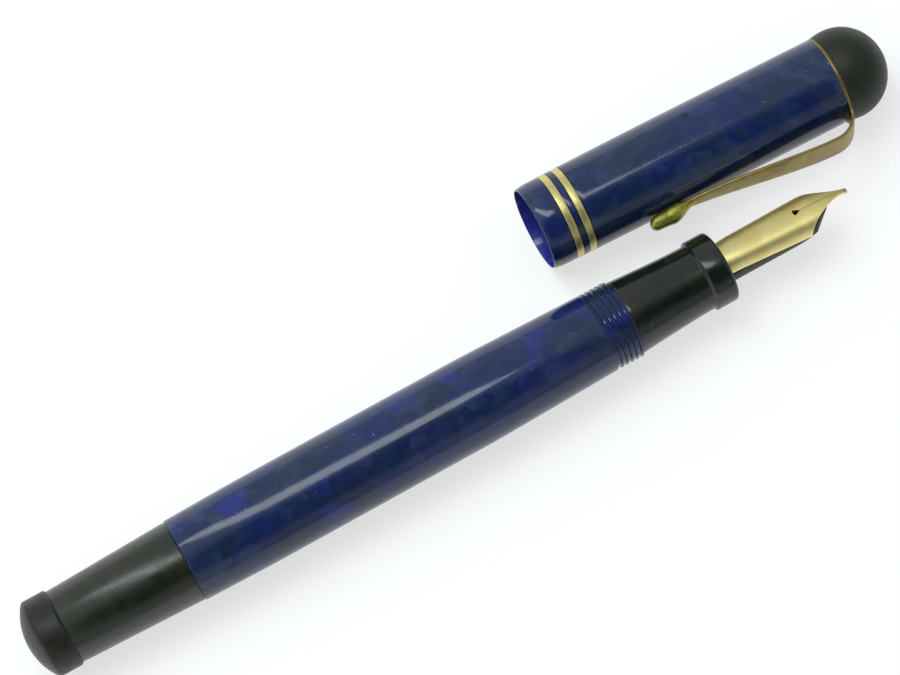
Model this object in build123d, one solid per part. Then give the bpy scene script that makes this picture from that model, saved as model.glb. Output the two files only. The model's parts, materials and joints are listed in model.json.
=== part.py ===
from build123d import *
from math import asin, atan, cos, degrees, radians, sin, sqrt
import os

# A button-filling fountain pen, uncapped, with its cap lying beside it.  Millimetres.
# The pen's axis is X with the nib towards +X and Z is up.  The origin is on the pen's axis, in
# the middle of the barrel's straight, widest stretch.  Lengths of the pen are taken along X.
# Lengths of the cap are taken along the cap's own axis from its mouth.

# ---- barrel ----
BARREL_RADIUS = 6.37
BELLY_LENGTH = 36.0            # the straight, widest stretch, centred on the origin
TAIL_TAPER_LENGTH = 10.5
TAIL_TAPER_RADIUS = 6.18
NECK_LENGTH = 19.2
NECK_RADIUS = 5.90
BELLY_BLEND = 2.0              # how far each side of a corner of the outline is eased
BARREL_BORE_RADIUS = 5.20
BARREL_SHOULDER_DEPTH = 6.0    # length of the narrower bore at the mouth, which holds the section

# ---- cap thread, on the barrel's mouth and inside the cap ----
THREAD_PITCH = 0.80
THREAD_TURNS = 5
THREAD_CREST_RADIUS = 5.90
THREAD_DEPTH = 0.27
THREAD_CREST_WIDTH = 0.22
THREAD_FLANK = 0.17
THREAD_CLEARANCE = 0.06

# ---- gripping section ----
SECTION_TENON_RADIUS = 4.60
SECTION_BACK_RADIUS = 5.58
SECTION_WAIST_RADIUS = 4.93
SECTION_TAPER_LENGTH = 11.9
SECTION_BACK_SLOPE = 0.065     # how steeply the taper leaves the barrel
SECTION_WAIST_SLOPE = 0.015
LIP_RADIUS = 5.35
LIP_RISE = 0.55                # length over which the waist climbs to the lip
LIP_LENGTH = 3.3
LIP_ROUNDING = 0.55
NIPPLE_RADIUS = 3.18
NIPPLE_LENGTH = 7.0
NIPPLE_BEVEL = 0.3
NIPPLE_BEVEL_LENGTH = 0.6
INK_BORE_RADIUS = 1.60
NIB_SEAT_LENGTH = 19.6         # depth of the bore that holds the nib and the feed

# ---- nib ----
NIB_ROOT_RADIUS = 3.06         # outer radius where it leaves the section
NIB_SHOULDER_RADIUS = 4.17      # the sheet is curved less at the shoulders than at its root
NIB_SHOULDER_CROWN = 2.62      # height of the crown over the pen's axis at the shoulders
NIB_SHOULDER_HALF_WIDTH = 3.70
NIB_SHEET = 0.32
NIB_ROLL = -23.0               # the nib's crown leans towards +Y by this many degrees
NIB_HEEL_DEPTH = 16.0          # how far the nib reaches into the section
NIB_SHOULDER_OUT = 13.1        # from the section's front to the start of the shoulders
NIB_FLANK_OUT = 15.35
NIB_FLANK_WIDTH = 4.42
NIB_TINE_ROOT_OUT = 17.9
NIB_TIP_OUT = 20.5
NIB_ROOT_WRAP = 80.0           # half of the angle that the sheet wraps, at the section
TINE_ROOT_WIDTH = 1.88
TINE_TIP_WIDTH = 0.73
TIP_DROOP = 1.05
BREATHER_OUT = 12.4
BREATHER_LENGTH = 0.95
BREATHER_LOBE = 0.27
SLIT_WIDTH = 0.10
TIPPING_RADIUS = 0.42
TIPPING_DROP = 0.12

# ---- feed ----
FEED_CLEARANCE = 0.03
FEED_RADIUS = 2.86             # of the belly that shows under the nib
FEED_OUT = 16.9                # how far the feed reaches past the section
FEED_MIDDLE_OUT = 9.5
FEED_MIDDLE_DROP = 2.15
FEED_HEEL_MARGIN = 0.1         # the underside's curve starts this far below the heel
FEED_TIP_HEIGHT = 1.75
FEED_INSET = 0.06              # the feed is this much narrower than the nib, each side
FEED_TAIL_RADIUS = 1.45
FEED_TAIL_LENGTH = 7.0
FEED_HEEL_GAP = 0.3            # from the end of the seat to the feed's heel
FEED_COLLAR_SETBACK = 0.4      # the full round heel stops this far inside the section's front
INK_SLOT_WIDTH = 0.55
INK_SLOT_DEPTH = 1.1
INK_SLOT_SETBACK = 1.4

# ---- filling works ----
SAC_RADIUS = 3.60
SAC_WALL = 0.40
SAC_LENGTH = 44.0
SAC_LAP_GAP = 0.4              # the sac's mouth stops this far from the section's tenon
LEAF_THICKNESS = 0.35
LEAF_WIDTH = 3.5
LEAF_HEIGHT = 4.60             # height of the leaf's middle above the pen's axis
LEAF_FOOT_DROP = 1.4
LEAF_BUTTON_HEIGHT = 1.15      # height of the leaf's middle inside the button
LEAF_BEND_GAP = 0.6            # from the presser bar's end to where the leaf comes down
LEAF_BEND_LENGTH = 11.5
LEAF_END_GAP = 0.05
PRESSER_LENGTH = 29.0
PRESSER_WIDTH = 4.0
PRESSER_THICKNESS = 0.40
PRESSER_CORNER = 1.2
PRESSER_FRONT_GAP = 8.0        # from the section's tenon to the presser bar's front end
RIVET_RADIUS = 0.5
RIVET_HEAD_RADIUS = 0.85
RIVET_HEAD = 0.22
RIVET_SPACING = 4.0
RIVET_SETBACK = 6.0
RIVET_CLEARANCE = 0.02

# ---- button and its bushing ----
BUTTON_RADIUS = 3.0
BUTTON_WALL = 0.40
BUTTON_END = 0.8
BUTTON_ROUNDING = 0.6
BUTTON_PROUD = 5.5             # how far it stands out of the bushing
BUTTON_FLANGE_RADIUS = 4.2
BUTTON_FLANGE = 0.8
BUTTON_RUNNING_GAP = 0.05
BUTTON_STOP_GAP = 0.05
BUSHING_INSIDE = 6.0
BUSHING_TENON_LENGTH = 7.5
BUSHING_CREST_RADIUS = 4.60
BUSHING_THREAD_DEPTH = 0.25
BUSHING_TURNS = 7
CEMENT_GAP = 0.01

# ---- blind cap ----
BLIND_CAP_LENGTH = 18.6
BLIND_CAP_FRONT_RADIUS = 6.02
BLIND_CAP_BACK_RADIUS = 5.46
BLIND_CAP_SOCKET_DEPTH = 8.3
BLIND_CAP_BORE_RADIUS = 4.20
BLIND_CAP_THREAD_GAP = 0.10
KNOB_RADIUS = 5.76
KNOB_LENGTH = 3.65
KNOB_DOME = 1.95
KNOB_EDGE = 0.25
KNOB_SPIGOT = 4.0
SEAM_GAP = 0.05

# ---- cap ----
CAP_TUBE_LENGTH = 47.35
CAP_RIM_RADIUS = 6.14
CAP_LIP_RADIUS = 6.40
CAP_LIP_LENGTH = 2.3
CAP_RIM_SLOPE = 0.30           # how steeply the lip's curve leaves the rim
CAP_SWELL_RADIUS = 6.54
CAP_END_RADIUS = 6.50
CAP_MOUTH_BORE_RADIUS = 5.99
CAP_MOUTH_SEAT_GAP = 0.02      # between the mouth's bore and the barrel's neck when closed
CAP_COLLAR_LENGTH = 6.0
BAND_WIDTH = 1.05
BAND_THICKNESS = 0.22
BAND_RADIUS = 6.45
BAND_STARTS = {"cap_band_lower": 3.55, "cap_band_upper": 5.60}
INNER_CAP_BORE_RADIUS = 4.60
INNER_CAP_SEAL_GAP = 0.05
INNER_CAP_MOUTH_FLARE = 0.5

# ---- cap top ----
STUD_RADIUS = 4.85
STUD_BORE_RADIUS = 3.9
STUD_BORE_RISE = 1.4           # how far the bore goes past the clip's ring
CAP_TOP_BASE_RADIUS = 6.48
CAP_TOP_FLARE_RADIUS = 6.74
CAP_TOP_FLARE_LENGTH = 2.1
CAP_TOP_BASE_SLOPE = 0.25
CAP_TOP_DOME = 6.4
CAP_TOP_HAUNCH = 45.0          # angle at which the dome's curve passes through its haunch

# ---- clip ----
CLIP_RING_THICKNESS = 0.50
CLIP_RING_RADIUS = 6.52
CLIP_SHEET = 0.45
CLIP_WIDTH = 4.4
CLIP_NECK_WIDTH = 1.7
CLIP_CREST = 9.85              # height of the arm's middle over the cap's axis, at the bend
CLIP_MIDDLE_RISE = 9.02
CLIP_NECK_RISE = 7.52
CLIP_BEND_RADIUS = 2.2
CLIP_MIDDLE = 33.5             # from the cap's mouth
CLIP_NECK = 21.6
CLIP_TAPER_START = 42.5
CLIP_RISER_BITE = 0.8          # the arm starts this far outside the ring's hole
CLIP_TONGUE = 1.8              # how far the arm reaches into the ball
CLIP_TONGUE_DROP = 0.12
CLIP_TONGUE_SLOPE = 0.02
BALL_START = 14.4
BALL_LENGTH = 6.4
BALL_RADIUS = 1.40
BALL_WIDEST = 2.24             # from the ball's nose to its widest place
BALL_BACK_RADIUS = 0.59
BALL_BACK_SLOPE = 0.12
BALL_GAP = 0.05

# ---- cutting shapes ----
CUT_MARGIN = 1.0               # how far a cutting shape reaches past what it cuts

# ---- how the cap lies beside the pen ----
CAP_MOUTH_X = 37.05
CAP_MOUTH_Y = 17.45
CAP_YAW = -1.75
CLIP_ANGLE = 78.0              # the clip leans from upright towards the pen

# ---- places along the pen ----
barrel_tail_x = -BELLY_LENGTH / 2 - TAIL_TAPER_LENGTH
neck_end_x = BELLY_LENGTH / 2 + NECK_LENGTH
barrel_mouth_x = neck_end_x + (THREAD_TURNS + 0.5) * THREAD_PITCH
tenon_back_x = barrel_mouth_x - BARREL_SHOULDER_DEPTH
nipple_back_x = tenon_back_x - NIPPLE_LENGTH
lip_x = barrel_mouth_x + SECTION_TAPER_LENGTH + LIP_RISE
section_front_x = lip_x + LIP_LENGTH
nib_tip_x = section_front_x + NIB_TIP_OUT
shoulder_x = section_front_x + NIB_SHOULDER_OUT
bushing_front_x = barrel_tail_x + BUSHING_INSIDE
bushing_back_x = barrel_tail_x - BUSHING_TENON_LENGTH
button_back_x = bushing_back_x - BUTTON_PROUD
blind_cap_back_x = barrel_tail_x - SEAM_GAP - BLIND_CAP_LENGTH

# ---- places along the cap ----
thread_root_radius = THREAD_CREST_RADIUS - THREAD_DEPTH
neck_slope = (BARREL_RADIUS - NECK_RADIUS) / NECK_LENGTH
closed_neck_radius = CAP_MOUTH_BORE_RADIUS - CAP_MOUTH_SEAT_GAP
cap_seat_x = BELLY_LENGTH / 2 + (BARREL_RADIUS - closed_neck_radius) / neck_slope
cap_thread_start = neck_end_x - cap_seat_x + THREAD_PITCH / 2
cap_thread_end = cap_thread_start + THREAD_TURNS * THREAD_PITCH
inner_cap_start = section_front_x - cap_seat_x + INNER_CAP_SEAL_GAP
collar_start = CAP_TUBE_LENGTH - CAP_COLLAR_LENGTH
cap_bore_radius = THREAD_CREST_RADIUS - THREAD_DEPTH + THREAD_CLEARANCE
clip_ring_end = CAP_TUBE_LENGTH + CLIP_RING_THICKNESS
dome_start = clip_ring_end + CAP_TOP_FLARE_LENGTH
cap_axis_height = CAP_TOP_FLARE_RADIUS - BARREL_RADIUS


def rod(start, end, radius):
    """A round bar on the X axis."""
    return Pos((start + end) / 2, 0, 0) * Rot(0, 90, 0) * Cylinder(radius, abs(end - start))


def turned(*edges):
    """A closed outline in the XY plane, turned round the X axis."""
    return revolve(make_face(edges), Axis.X)


def block(start, end, width, low, high):
    """A box from start to end along X, centred on Y, from low to high."""
    size = Box(end - start, width, high - low)
    return Pos((start + end) / 2, 0, (low + high) / 2) * size


def side_plate(half_width, *edges):
    """An outline given as (x, height), made as thick as twice half_width across Y."""
    return extrude(Plane.XZ * make_face(edges), half_width, both=True)


def thread_points(start, turns, foot, crest):
    """Corners of a row of ridges that run from the foot radius to the crest radius."""
    points = []
    for turn in range(turns):
        x = start + turn * THREAD_PITCH
        points += [
            (x, foot),
            (x + THREAD_FLANK, crest),
            (x + THREAD_FLANK + THREAD_CREST_WIDTH, crest),
            (x + 2 * THREAD_FLANK + THREAD_CREST_WIDTH, foot),
        ]
    return points


def barrel():
    """The blue tube: straight belly, tapers to both ends, ridges at the mouth, stepped bore."""
    belly = BELLY_LENGTH / 2
    neck_blend = BARREL_RADIUS - BELLY_BLEND * neck_slope
    tail_slope = (BARREL_RADIUS - TAIL_TAPER_RADIUS) / TAIL_TAPER_LENGTH
    tail_blend = BARREL_RADIUS - BELLY_BLEND * tail_slope
    tail = (barrel_tail_x, TAIL_TAPER_RADIUS)
    tail_ease = Spline(
        (-belly - BELLY_BLEND, tail_blend),
        (-belly + BELLY_BLEND, BARREL_RADIUS),
        tangents=[(1, tail_slope), (1, 0)],
    )
    neck_ease = Spline(
        (belly - BELLY_BLEND, BARREL_RADIUS),
        (belly + BELLY_BLEND, neck_blend),
        tangents=[(1, 0), (1, -neck_slope)],
    )
    mouth = Polyline(
        neck_ease @ 1,
        (neck_end_x, NECK_RADIUS),
        (neck_end_x, thread_root_radius),
        *thread_points(
            neck_end_x + THREAD_PITCH / 2, THREAD_TURNS, thread_root_radius, THREAD_CREST_RADIUS
        ),
        (barrel_mouth_x, thread_root_radius),
        (barrel_mouth_x, SECTION_TENON_RADIUS + CEMENT_GAP),
        (tenon_back_x, SECTION_TENON_RADIUS + CEMENT_GAP),
        (tenon_back_x, BARREL_BORE_RADIUS),
        (barrel_tail_x, BARREL_BORE_RADIUS),
        tail,
        tail_ease @ 0,
    )
    belly_line = Line(tail_ease @ 1, neck_ease @ 0)
    return turned(tail_ease, belly_line, neck_ease, mouth)


def section():
    """The black grip: tenon and sac nipple behind, waist and lip in front, bored through."""
    waist_x = barrel_mouth_x + SECTION_TAPER_LENGTH
    waist = (waist_x, SECTION_WAIST_RADIUS)
    back = (barrel_mouth_x, SECTION_BACK_RADIUS)
    lip = (lip_x, LIP_RADIUS)
    rounding = (section_front_x - LIP_ROUNDING, LIP_RADIUS)
    front = (section_front_x, LIP_RADIUS - LIP_ROUNDING)
    seat_x = section_front_x - NIB_SEAT_LENGTH
    seat_radius = NIB_ROOT_RADIUS + CEMENT_GAP
    taper = Spline(back, waist, tangents=[(1, -SECTION_BACK_SLOPE), (1, -SECTION_WAIST_SLOPE)])
    rise = Spline(waist, lip, tangents=[(1, 0), (1, 0)])
    nose = RadiusArc(rounding, front, LIP_ROUNDING)
    rest = Polyline(
        front,
        (section_front_x, seat_radius),
        (seat_x, seat_radius),
        (seat_x, INK_BORE_RADIUS),
        (nipple_back_x, INK_BORE_RADIUS),
        (nipple_back_x, NIPPLE_RADIUS - NIPPLE_BEVEL),
        (nipple_back_x + NIPPLE_BEVEL_LENGTH, NIPPLE_RADIUS),
        (tenon_back_x, NIPPLE_RADIUS),
        (tenon_back_x, SECTION_TENON_RADIUS),
        (barrel_mouth_x, SECTION_TENON_RADIUS),
        back,
    )
    return turned(taper, rise, Line(lip, rounding), nose, rest)


def nib_shoulder_centre():
    """Height of the centre of the sheet's curve at the shoulders, below the pen's axis."""
    return NIB_SHOULDER_CROWN - NIB_SHOULDER_RADIUS


def droop_radius():
    """Radius of the arc in which the middle of the nib's sheet droops from shoulder to tip."""
    reach = NIB_TIP_OUT - NIB_SHOULDER_OUT
    return (reach**2 + TIP_DROOP**2) / (2 * TIP_DROOP)


def nib_form(inset):
    """The full round form whose skin is the nib: a rod, a widening length and a drooping front."""
    heel_x = section_front_x - NIB_HEEL_DEPTH
    root = Plane.YZ.offset(section_front_x) * Circle(NIB_ROOT_RADIUS - inset)
    centre = Pos(0, nib_shoulder_centre())
    shoulder = Plane.YZ.offset(shoulder_x) * centre * Circle(NIB_SHOULDER_RADIUS - inset)
    widening = loft([root, shoulder])
    turn_height = NIB_SHOULDER_CROWN - NIB_SHEET / 2 - droop_radius()
    turn_axis = Axis((shoulder_x, 0, turn_height), (0, 1, 0))
    turn_radius = nib_shoulder_centre() - turn_height
    turn_angle = degrees(asin((nib_tip_x + CUT_MARGIN - shoulder_x) / turn_radius))
    front = revolve(shoulder, turn_axis, turn_angle)
    return rod(heel_x, section_front_x, NIB_ROOT_RADIUS - inset) + widening + front


def nib_plan(inset, end_x):
    """Seen from above: parallel sides, hollow-flanked shoulders and slim tines, cut at end_x."""
    wide = NIB_SHOULDER_HALF_WIDTH + CUT_MARGIN
    start_x = section_front_x - NIB_SEAT_LENGTH
    shoulder = (shoulder_x, NIB_SHOULDER_HALF_WIDTH - inset)
    flank = (section_front_x + NIB_FLANK_OUT, NIB_FLANK_WIDTH / 2 - inset)
    tine = (section_front_x + NIB_TINE_ROOT_OUT, TINE_ROOT_WIDTH / 2 - inset)
    tip = (nib_tip_x, TINE_TIP_WIDTH / 2 - inset)
    flank_line = Spline(shoulder, flank, tine, tip)
    outline = Polyline(
        tip, (nib_tip_x, 0), (start_x, 0), (start_x, wide), (shoulder_x, wide), shoulder
    )
    half = extrude(make_face([flank_line, outline]), 2 * NIB_SHOULDER_RADIUS, both=True)
    whole = half + mirror(half, Plane.XZ)
    return whole & block(start_x, end_x, 2 * wide, -2 * wide, 2 * wide)


def nib_edge_height(x):
    """Height of the sheet's lower edges over the pen's axis, on a straight line along X."""
    root = NIB_ROOT_RADIUS * cos(radians(NIB_ROOT_WRAP))
    rise = sqrt(NIB_SHOULDER_RADIUS**2 - NIB_SHOULDER_HALF_WIDTH**2)
    shoulder = nib_shoulder_centre() + rise
    return root + (shoulder - root) * (x - section_front_x) / NIB_SHOULDER_OUT


def above_edges(lift):
    """Everything higher than the sheet's lower edges, moved by lift."""
    start = section_front_x - NIB_SEAT_LENGTH - FEED_TAIL_LENGTH
    end = nib_tip_x + CUT_MARGIN
    low = [(x, nib_edge_height(x) + lift) for x in (start, end)]
    high = 2 * NIB_SHOULDER_RADIUS
    wedge = Polyline(*low, (end, high), (start, high), low[0])
    return side_plate(2 * NIB_SHOULDER_RADIUS, wedge)


def slit():
    """The thin gap between the tines, from the breather hole to past the tip."""
    start = section_front_x + BREATHER_OUT
    end = nib_tip_x + TIPPING_RADIUS + CUT_MARGIN
    return block(start, end, SLIT_WIDTH, 0, 2 * NIB_SHOULDER_RADIUS)


def breather():
    """A small heart-shaped hole, its point towards the tip and its sides tangent to two lobes."""
    x = section_front_x + BREATHER_OUT
    half_angle = 2 * atan(BREATHER_LOBE / BREATHER_LENGTH)
    touch_x = x + BREATHER_LENGTH * (1 - cos(half_angle))
    touch_y = BREATHER_LENGTH * sin(half_angle)
    point = Polyline(
        (x, 0), (touch_x, -touch_y), (x + BREATHER_LENGTH, 0), (touch_x, touch_y), close=True
    )
    heart = make_face([point])
    for side in (-1, 1):
        heart += Pos(x, side * BREATHER_LOBE, 0) * Circle(BREATHER_LOBE)
    return extrude(heart, 2 * NIB_SHOULDER_RADIUS)


def nib():
    """The gold sheet, with its slit and breather hole."""
    sheet = nib_form(0) - nib_form(NIB_SHEET)
    sheet = sheet & above_edges(0) & nib_plan(0, nib_tip_x)
    return Rot(NIB_ROLL, 0, 0) * (sheet - breather() - slit())


def nib_tipping():
    """Two hard pellets, one on each tine's end."""
    height = NIB_SHOULDER_CROWN - NIB_SHEET / 2 - TIP_DROOP - TIPPING_DROP
    pellet = Pos(nib_tip_x, 0, height) * Sphere(TIPPING_RADIUS)
    reach = TIPPING_RADIUS + CUT_MARGIN
    front = block(nib_tip_x, nib_tip_x + reach, 2 * reach, 0, 2 * NIB_SHOULDER_RADIUS)
    return Rot(NIB_ROLL, 0, 0) * ((pellet & front) - slit())


def feed():
    """The black core under the nib: tail in the ink bore, heel in the seat, tapering front."""
    inset = NIB_SHEET + FEED_CLEARANCE
    heel_x = section_front_x - NIB_SEAT_LENGTH + FEED_HEEL_GAP
    tip_x = section_front_x + FEED_OUT
    middle_x = section_front_x + FEED_MIDDLE_OUT
    core = nib_form(inset) & rod(section_front_x - NIB_HEEL_DEPTH, tip_x, FEED_RADIUS)
    core += rod(heel_x, section_front_x, NIB_ROOT_RADIUS - inset)
    collar = rod(heel_x, section_front_x - FEED_COLLAR_SETBACK, NIB_ROOT_RADIUS)
    belly = rod(section_front_x - 2 * FEED_COLLAR_SETBACK, tip_x, FEED_RADIUS)
    lower = (collar + belly) - above_edges(-FEED_CLEARANCE)
    underside = Spline(
        (heel_x, -NIB_ROOT_RADIUS - FEED_HEEL_MARGIN),
        (section_front_x, -FEED_RADIUS - FEED_CLEARANCE),
        (middle_x, -FEED_MIDDLE_DROP),
        (tip_x, FEED_TIP_HEIGHT),
        tangents=[(1, 0), (1, 1)],
    )
    top = 2 * NIB_SHOULDER_RADIUS
    closing = Polyline(underside @ 1, (tip_x, top), (heel_x, top), underside @ 0)
    body = (core + lower) & side_plate(2 * NIB_SHOULDER_RADIUS, underside, closing)
    body &= nib_plan(FEED_INSET, tip_x)
    tail = rod(heel_x - FEED_TAIL_LENGTH, heel_x, FEED_TAIL_RADIUS)
    slot_floor = NIB_ROOT_RADIUS - inset - INK_SLOT_DEPTH
    slot_end = tip_x - INK_SLOT_SETBACK
    slot = block(heel_x, slot_end, INK_SLOT_WIDTH, slot_floor, top)
    tail_slot = block(heel_x - FEED_TAIL_LENGTH, heel_x, INK_SLOT_WIDTH, 0, top)
    return Rot(NIB_ROLL, 0, 0) * (body + tail - slot - tail_slot)


def ink_sac():
    """A thin rubber tube with a round closed end, pulled over the section's nipple."""
    mouth_x = tenon_back_x - SAC_LAP_GAP
    end_x = mouth_x - SAC_LENGTH
    outer = rod(end_x + SAC_RADIUS, mouth_x, SAC_RADIUS)
    outer += Pos(end_x + SAC_RADIUS, 0, 0) * Sphere(SAC_RADIUS)
    inner_radius = SAC_RADIUS - SAC_WALL
    inner = rod(end_x + SAC_RADIUS, mouth_x, inner_radius)
    inner += Pos(end_x + SAC_RADIUS, 0, 0) * Sphere(inner_radius)
    return outer - inner


def leaf_path(offset):
    """The leaf's side outline, one face of it, from its foot at the section to the button."""
    foot_x = tenon_back_x - LEAF_END_GAP - LEAF_THICKNESS / 2 + offset
    high = LEAF_HEIGHT + offset
    low = LEAF_BUTTON_HEIGHT + offset
    bend_x = tenon_back_x - PRESSER_FRONT_GAP - PRESSER_LENGTH - LEAF_BEND_GAP
    end_x = button_back_x + BUTTON_END + LEAF_END_GAP
    foot = Line((foot_x, LEAF_HEIGHT - LEAF_FOOT_DROP), (foot_x, high))
    run = Line((foot_x, high), (bend_x, high))
    bend = Spline((bend_x, high), (bend_x - LEAF_BEND_LENGTH, low), tangents=[(-1, 0), (-1, 0)])
    tail = Line((bend_x - LEAF_BEND_LENGTH, low), (end_x, low))
    return [foot, run, bend, tail]


def spring_leaf():
    """The sprung strip: foot against the section, along the bore's top, end in the button."""
    upper = leaf_path(LEAF_THICKNESS / 2)
    lower = leaf_path(-LEAF_THICKNESS / 2)
    ends = [Line(upper[0] @ 0, lower[0] @ 0), Line(upper[-1] @ 1, lower[-1] @ 1)]
    strip = side_plate(LEAF_WIDTH / 2, *upper, *lower, *ends)
    return strip - at_rivets(rivet_shank(RIVET_CLEARANCE))


def presser_bar():
    """The stiff flat bar that the leaf presses against the sac."""
    front = tenon_back_x - PRESSER_FRONT_GAP
    top = LEAF_HEIGHT - LEAF_THICKNESS / 2
    bar = block(front - PRESSER_LENGTH, front, PRESSER_WIDTH, top - PRESSER_THICKNESS, top)
    bar = fillet(bar.edges().filter_by(Axis.Z), PRESSER_CORNER)
    return bar - at_rivets(rivet_shank(RIVET_CLEARANCE))


def at_rivets(shape):
    """The shape, copied to the places of both rivets."""
    first = tenon_back_x - PRESSER_FRONT_GAP - RIVET_SETBACK
    return Compound([Pos(first - i * RIVET_SPACING, 0, 0) * shape for i in range(2)])


def rivet_shank(clearance):
    """The shank through leaf and bar, made thicker by clearance where it cuts its hole."""
    top = LEAF_HEIGHT + LEAF_THICKNESS / 2
    bottom = LEAF_HEIGHT - LEAF_THICKNESS / 2 - PRESSER_THICKNESS
    return Pos(0, 0, (top + bottom) / 2) * Cylinder(RIVET_RADIUS + clearance, top - bottom)


def presser_rivets():
    """Two rivets with thin heads, which hold the presser bar to the leaf."""
    rivet = rivet_shank(0)
    head = Cylinder(RIVET_HEAD_RADIUS, RIVET_HEAD)
    for face in (rivet.faces().sort_by(Axis.Z)[-1], rivet.faces().sort_by(Axis.Z)[0]):
        rivet += Pos(*(face.center() + face.normal_at() * RIVET_HEAD / 2)) * head
    return at_rivets(rivet)


def button_bushing():
    """The ring in the barrel's tail: guides the button and carries the blind cap's thread."""
    foot = BUSHING_CREST_RADIUS - BUSHING_THREAD_DEPTH
    bore = BUTTON_RADIUS + BUTTON_RUNNING_GAP
    ridges = thread_points(
        bushing_back_x + THREAD_PITCH, BUSHING_TURNS, foot, BUSHING_CREST_RADIUS
    )
    outline = Polyline(
        (bushing_back_x, bore),
        (bushing_back_x, foot),
        *ridges,
        (barrel_tail_x, foot),
        (barrel_tail_x, BARREL_BORE_RADIUS - CEMENT_GAP),
        (bushing_front_x, BARREL_BORE_RADIUS - CEMENT_GAP),
        (bushing_front_x, bore),
        close=True,
    )
    return turned(outline)


def filler_button():
    """A metal thimble: round closed end outside, flange inside the barrel that keeps it in."""
    flange_x = bushing_front_x + BUTTON_STOP_GAP
    front_x = flange_x + BUTTON_FLANGE
    inner = BUTTON_RADIUS - BUTTON_WALL
    crown = (button_back_x, BUTTON_RADIUS - BUTTON_ROUNDING)
    side = (button_back_x + BUTTON_ROUNDING, BUTTON_RADIUS)
    rounding = RadiusArc(crown, side, BUTTON_ROUNDING)
    outline = Polyline(
        side,
        (flange_x, BUTTON_RADIUS),
        (flange_x, BUTTON_FLANGE_RADIUS),
        (front_x, BUTTON_FLANGE_RADIUS),
        (front_x, inner),
        (button_back_x + BUTTON_END, inner),
        (button_back_x + BUTTON_END, 0),
        (button_back_x, 0),
        crown,
    )
    return turned(rounding, outline)


def blind_cap():
    """The black tube that covers the button: threaded socket in front, open bore behind."""
    front_x = barrel_tail_x - SEAM_GAP
    socket_x = front_x - BLIND_CAP_SOCKET_DEPTH
    socket = BUSHING_CREST_RADIUS + BLIND_CAP_THREAD_GAP
    outline = Polyline(
        (front_x, socket),
        (front_x, BLIND_CAP_FRONT_RADIUS),
        (blind_cap_back_x, BLIND_CAP_BACK_RADIUS),
        (blind_cap_back_x, BLIND_CAP_BORE_RADIUS),
        (socket_x, BLIND_CAP_BORE_RADIUS),
        (socket_x, socket),
        close=True,
    )
    return turned(outline)


def tail_knob():
    """The round-ended finger knob, with a spigot fixed in the blind cap's bore."""
    back_x = blind_cap_back_x - KNOB_LENGTH
    dome_x = back_x - KNOB_DOME
    spigot_x = blind_cap_back_x + KNOB_SPIGOT
    spigot = BLIND_CAP_BORE_RADIUS - CEMENT_GAP
    edge = (blind_cap_back_x - KNOB_EDGE, KNOB_RADIUS)
    corner = (back_x, KNOB_RADIUS)
    sagitta_radius = (KNOB_RADIUS**2 + KNOB_DOME**2) / (2 * KNOB_DOME)
    dome = RadiusArc((dome_x, 0), corner, sagitta_radius)
    outline = Polyline(
        corner,
        edge,
        (blind_cap_back_x, KNOB_RADIUS - KNOB_EDGE),
        (blind_cap_back_x, spigot),
        (spigot_x, spigot),
        (spigot_x, 0),
        (dome_x, 0),
    )
    return turned(dome, outline)


def cap_tube_outer():
    """The cap tube's outside from mouth to end: a rounded lip, then a slight swell."""
    rim = (0, CAP_RIM_RADIUS)
    lip = (CAP_LIP_LENGTH, CAP_LIP_RADIUS)
    swell = (CAP_TUBE_LENGTH / 2, CAP_SWELL_RADIUS)
    end = (CAP_TUBE_LENGTH, CAP_END_RADIUS)
    body = ThreePointArc(lip, swell, end)
    lip_curve = Spline(rim, lip, tangents=[(1, CAP_RIM_SLOPE), body % 0])
    return [lip_curve, body]


def cap_tube():
    """The blue tube: ridges inside the mouth, room for the inner cap, collar for the stud."""
    outer = cap_tube_outer()
    thread_root = THREAD_CREST_RADIUS + THREAD_CLEARANCE
    ridge_crest = cap_bore_radius
    inner_fit = cap_bore_radius + THREAD_CLEARANCE
    start = cap_thread_start - THREAD_PITCH / 2
    inside = Polyline(
        (CAP_TUBE_LENGTH, CAP_END_RADIUS),
        (CAP_TUBE_LENGTH, STUD_RADIUS + CEMENT_GAP),
        (collar_start, STUD_RADIUS + CEMENT_GAP),
        (collar_start, inner_fit),
        (cap_thread_end + THREAD_PITCH, inner_fit),
        *reversed(thread_points(start, THREAD_TURNS, thread_root, ridge_crest)),
        (start - THREAD_PITCH / 2, thread_root),
        (start - THREAD_PITCH / 2, CAP_MOUTH_BORE_RADIUS),
        (0, CAP_MOUTH_BORE_RADIUS),
        (0, CAP_RIM_RADIUS),
    )
    tube = turned(*outer, inside)
    for start in BAND_STARTS.values():
        end = start + BAND_WIDTH
        groove = rod(start, end, BAND_RADIUS + CUT_MARGIN)
        tube -= groove - rod(start - CUT_MARGIN, end + CUT_MARGIN, BAND_RADIUS - BAND_THICKNESS)
    return tube


def cap_band(start):
    """A thin gold ring let into the cap tube."""
    end = start + BAND_WIDTH
    bore = BAND_RADIUS - BAND_THICKNESS + CEMENT_GAP
    return rod(start, end, BAND_RADIUS) - rod(start - CUT_MARGIN, end + CUT_MARGIN, bore)


def inner_cap():
    """The black liner, whose mouth seals on the section's lip."""
    outer = cap_bore_radius + THREAD_CLEARANCE - CEMENT_GAP
    flare = INNER_CAP_BORE_RADIUS + INNER_CAP_MOUTH_FLARE
    outline = Polyline(
        (inner_cap_start, flare),
        (inner_cap_start, outer),
        (collar_start - CEMENT_GAP, outer),
        (collar_start - CEMENT_GAP, INNER_CAP_BORE_RADIUS),
        (inner_cap_start + INNER_CAP_MOUTH_FLARE, INNER_CAP_BORE_RADIUS),
        close=True,
    )
    return turned(outline)


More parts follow.
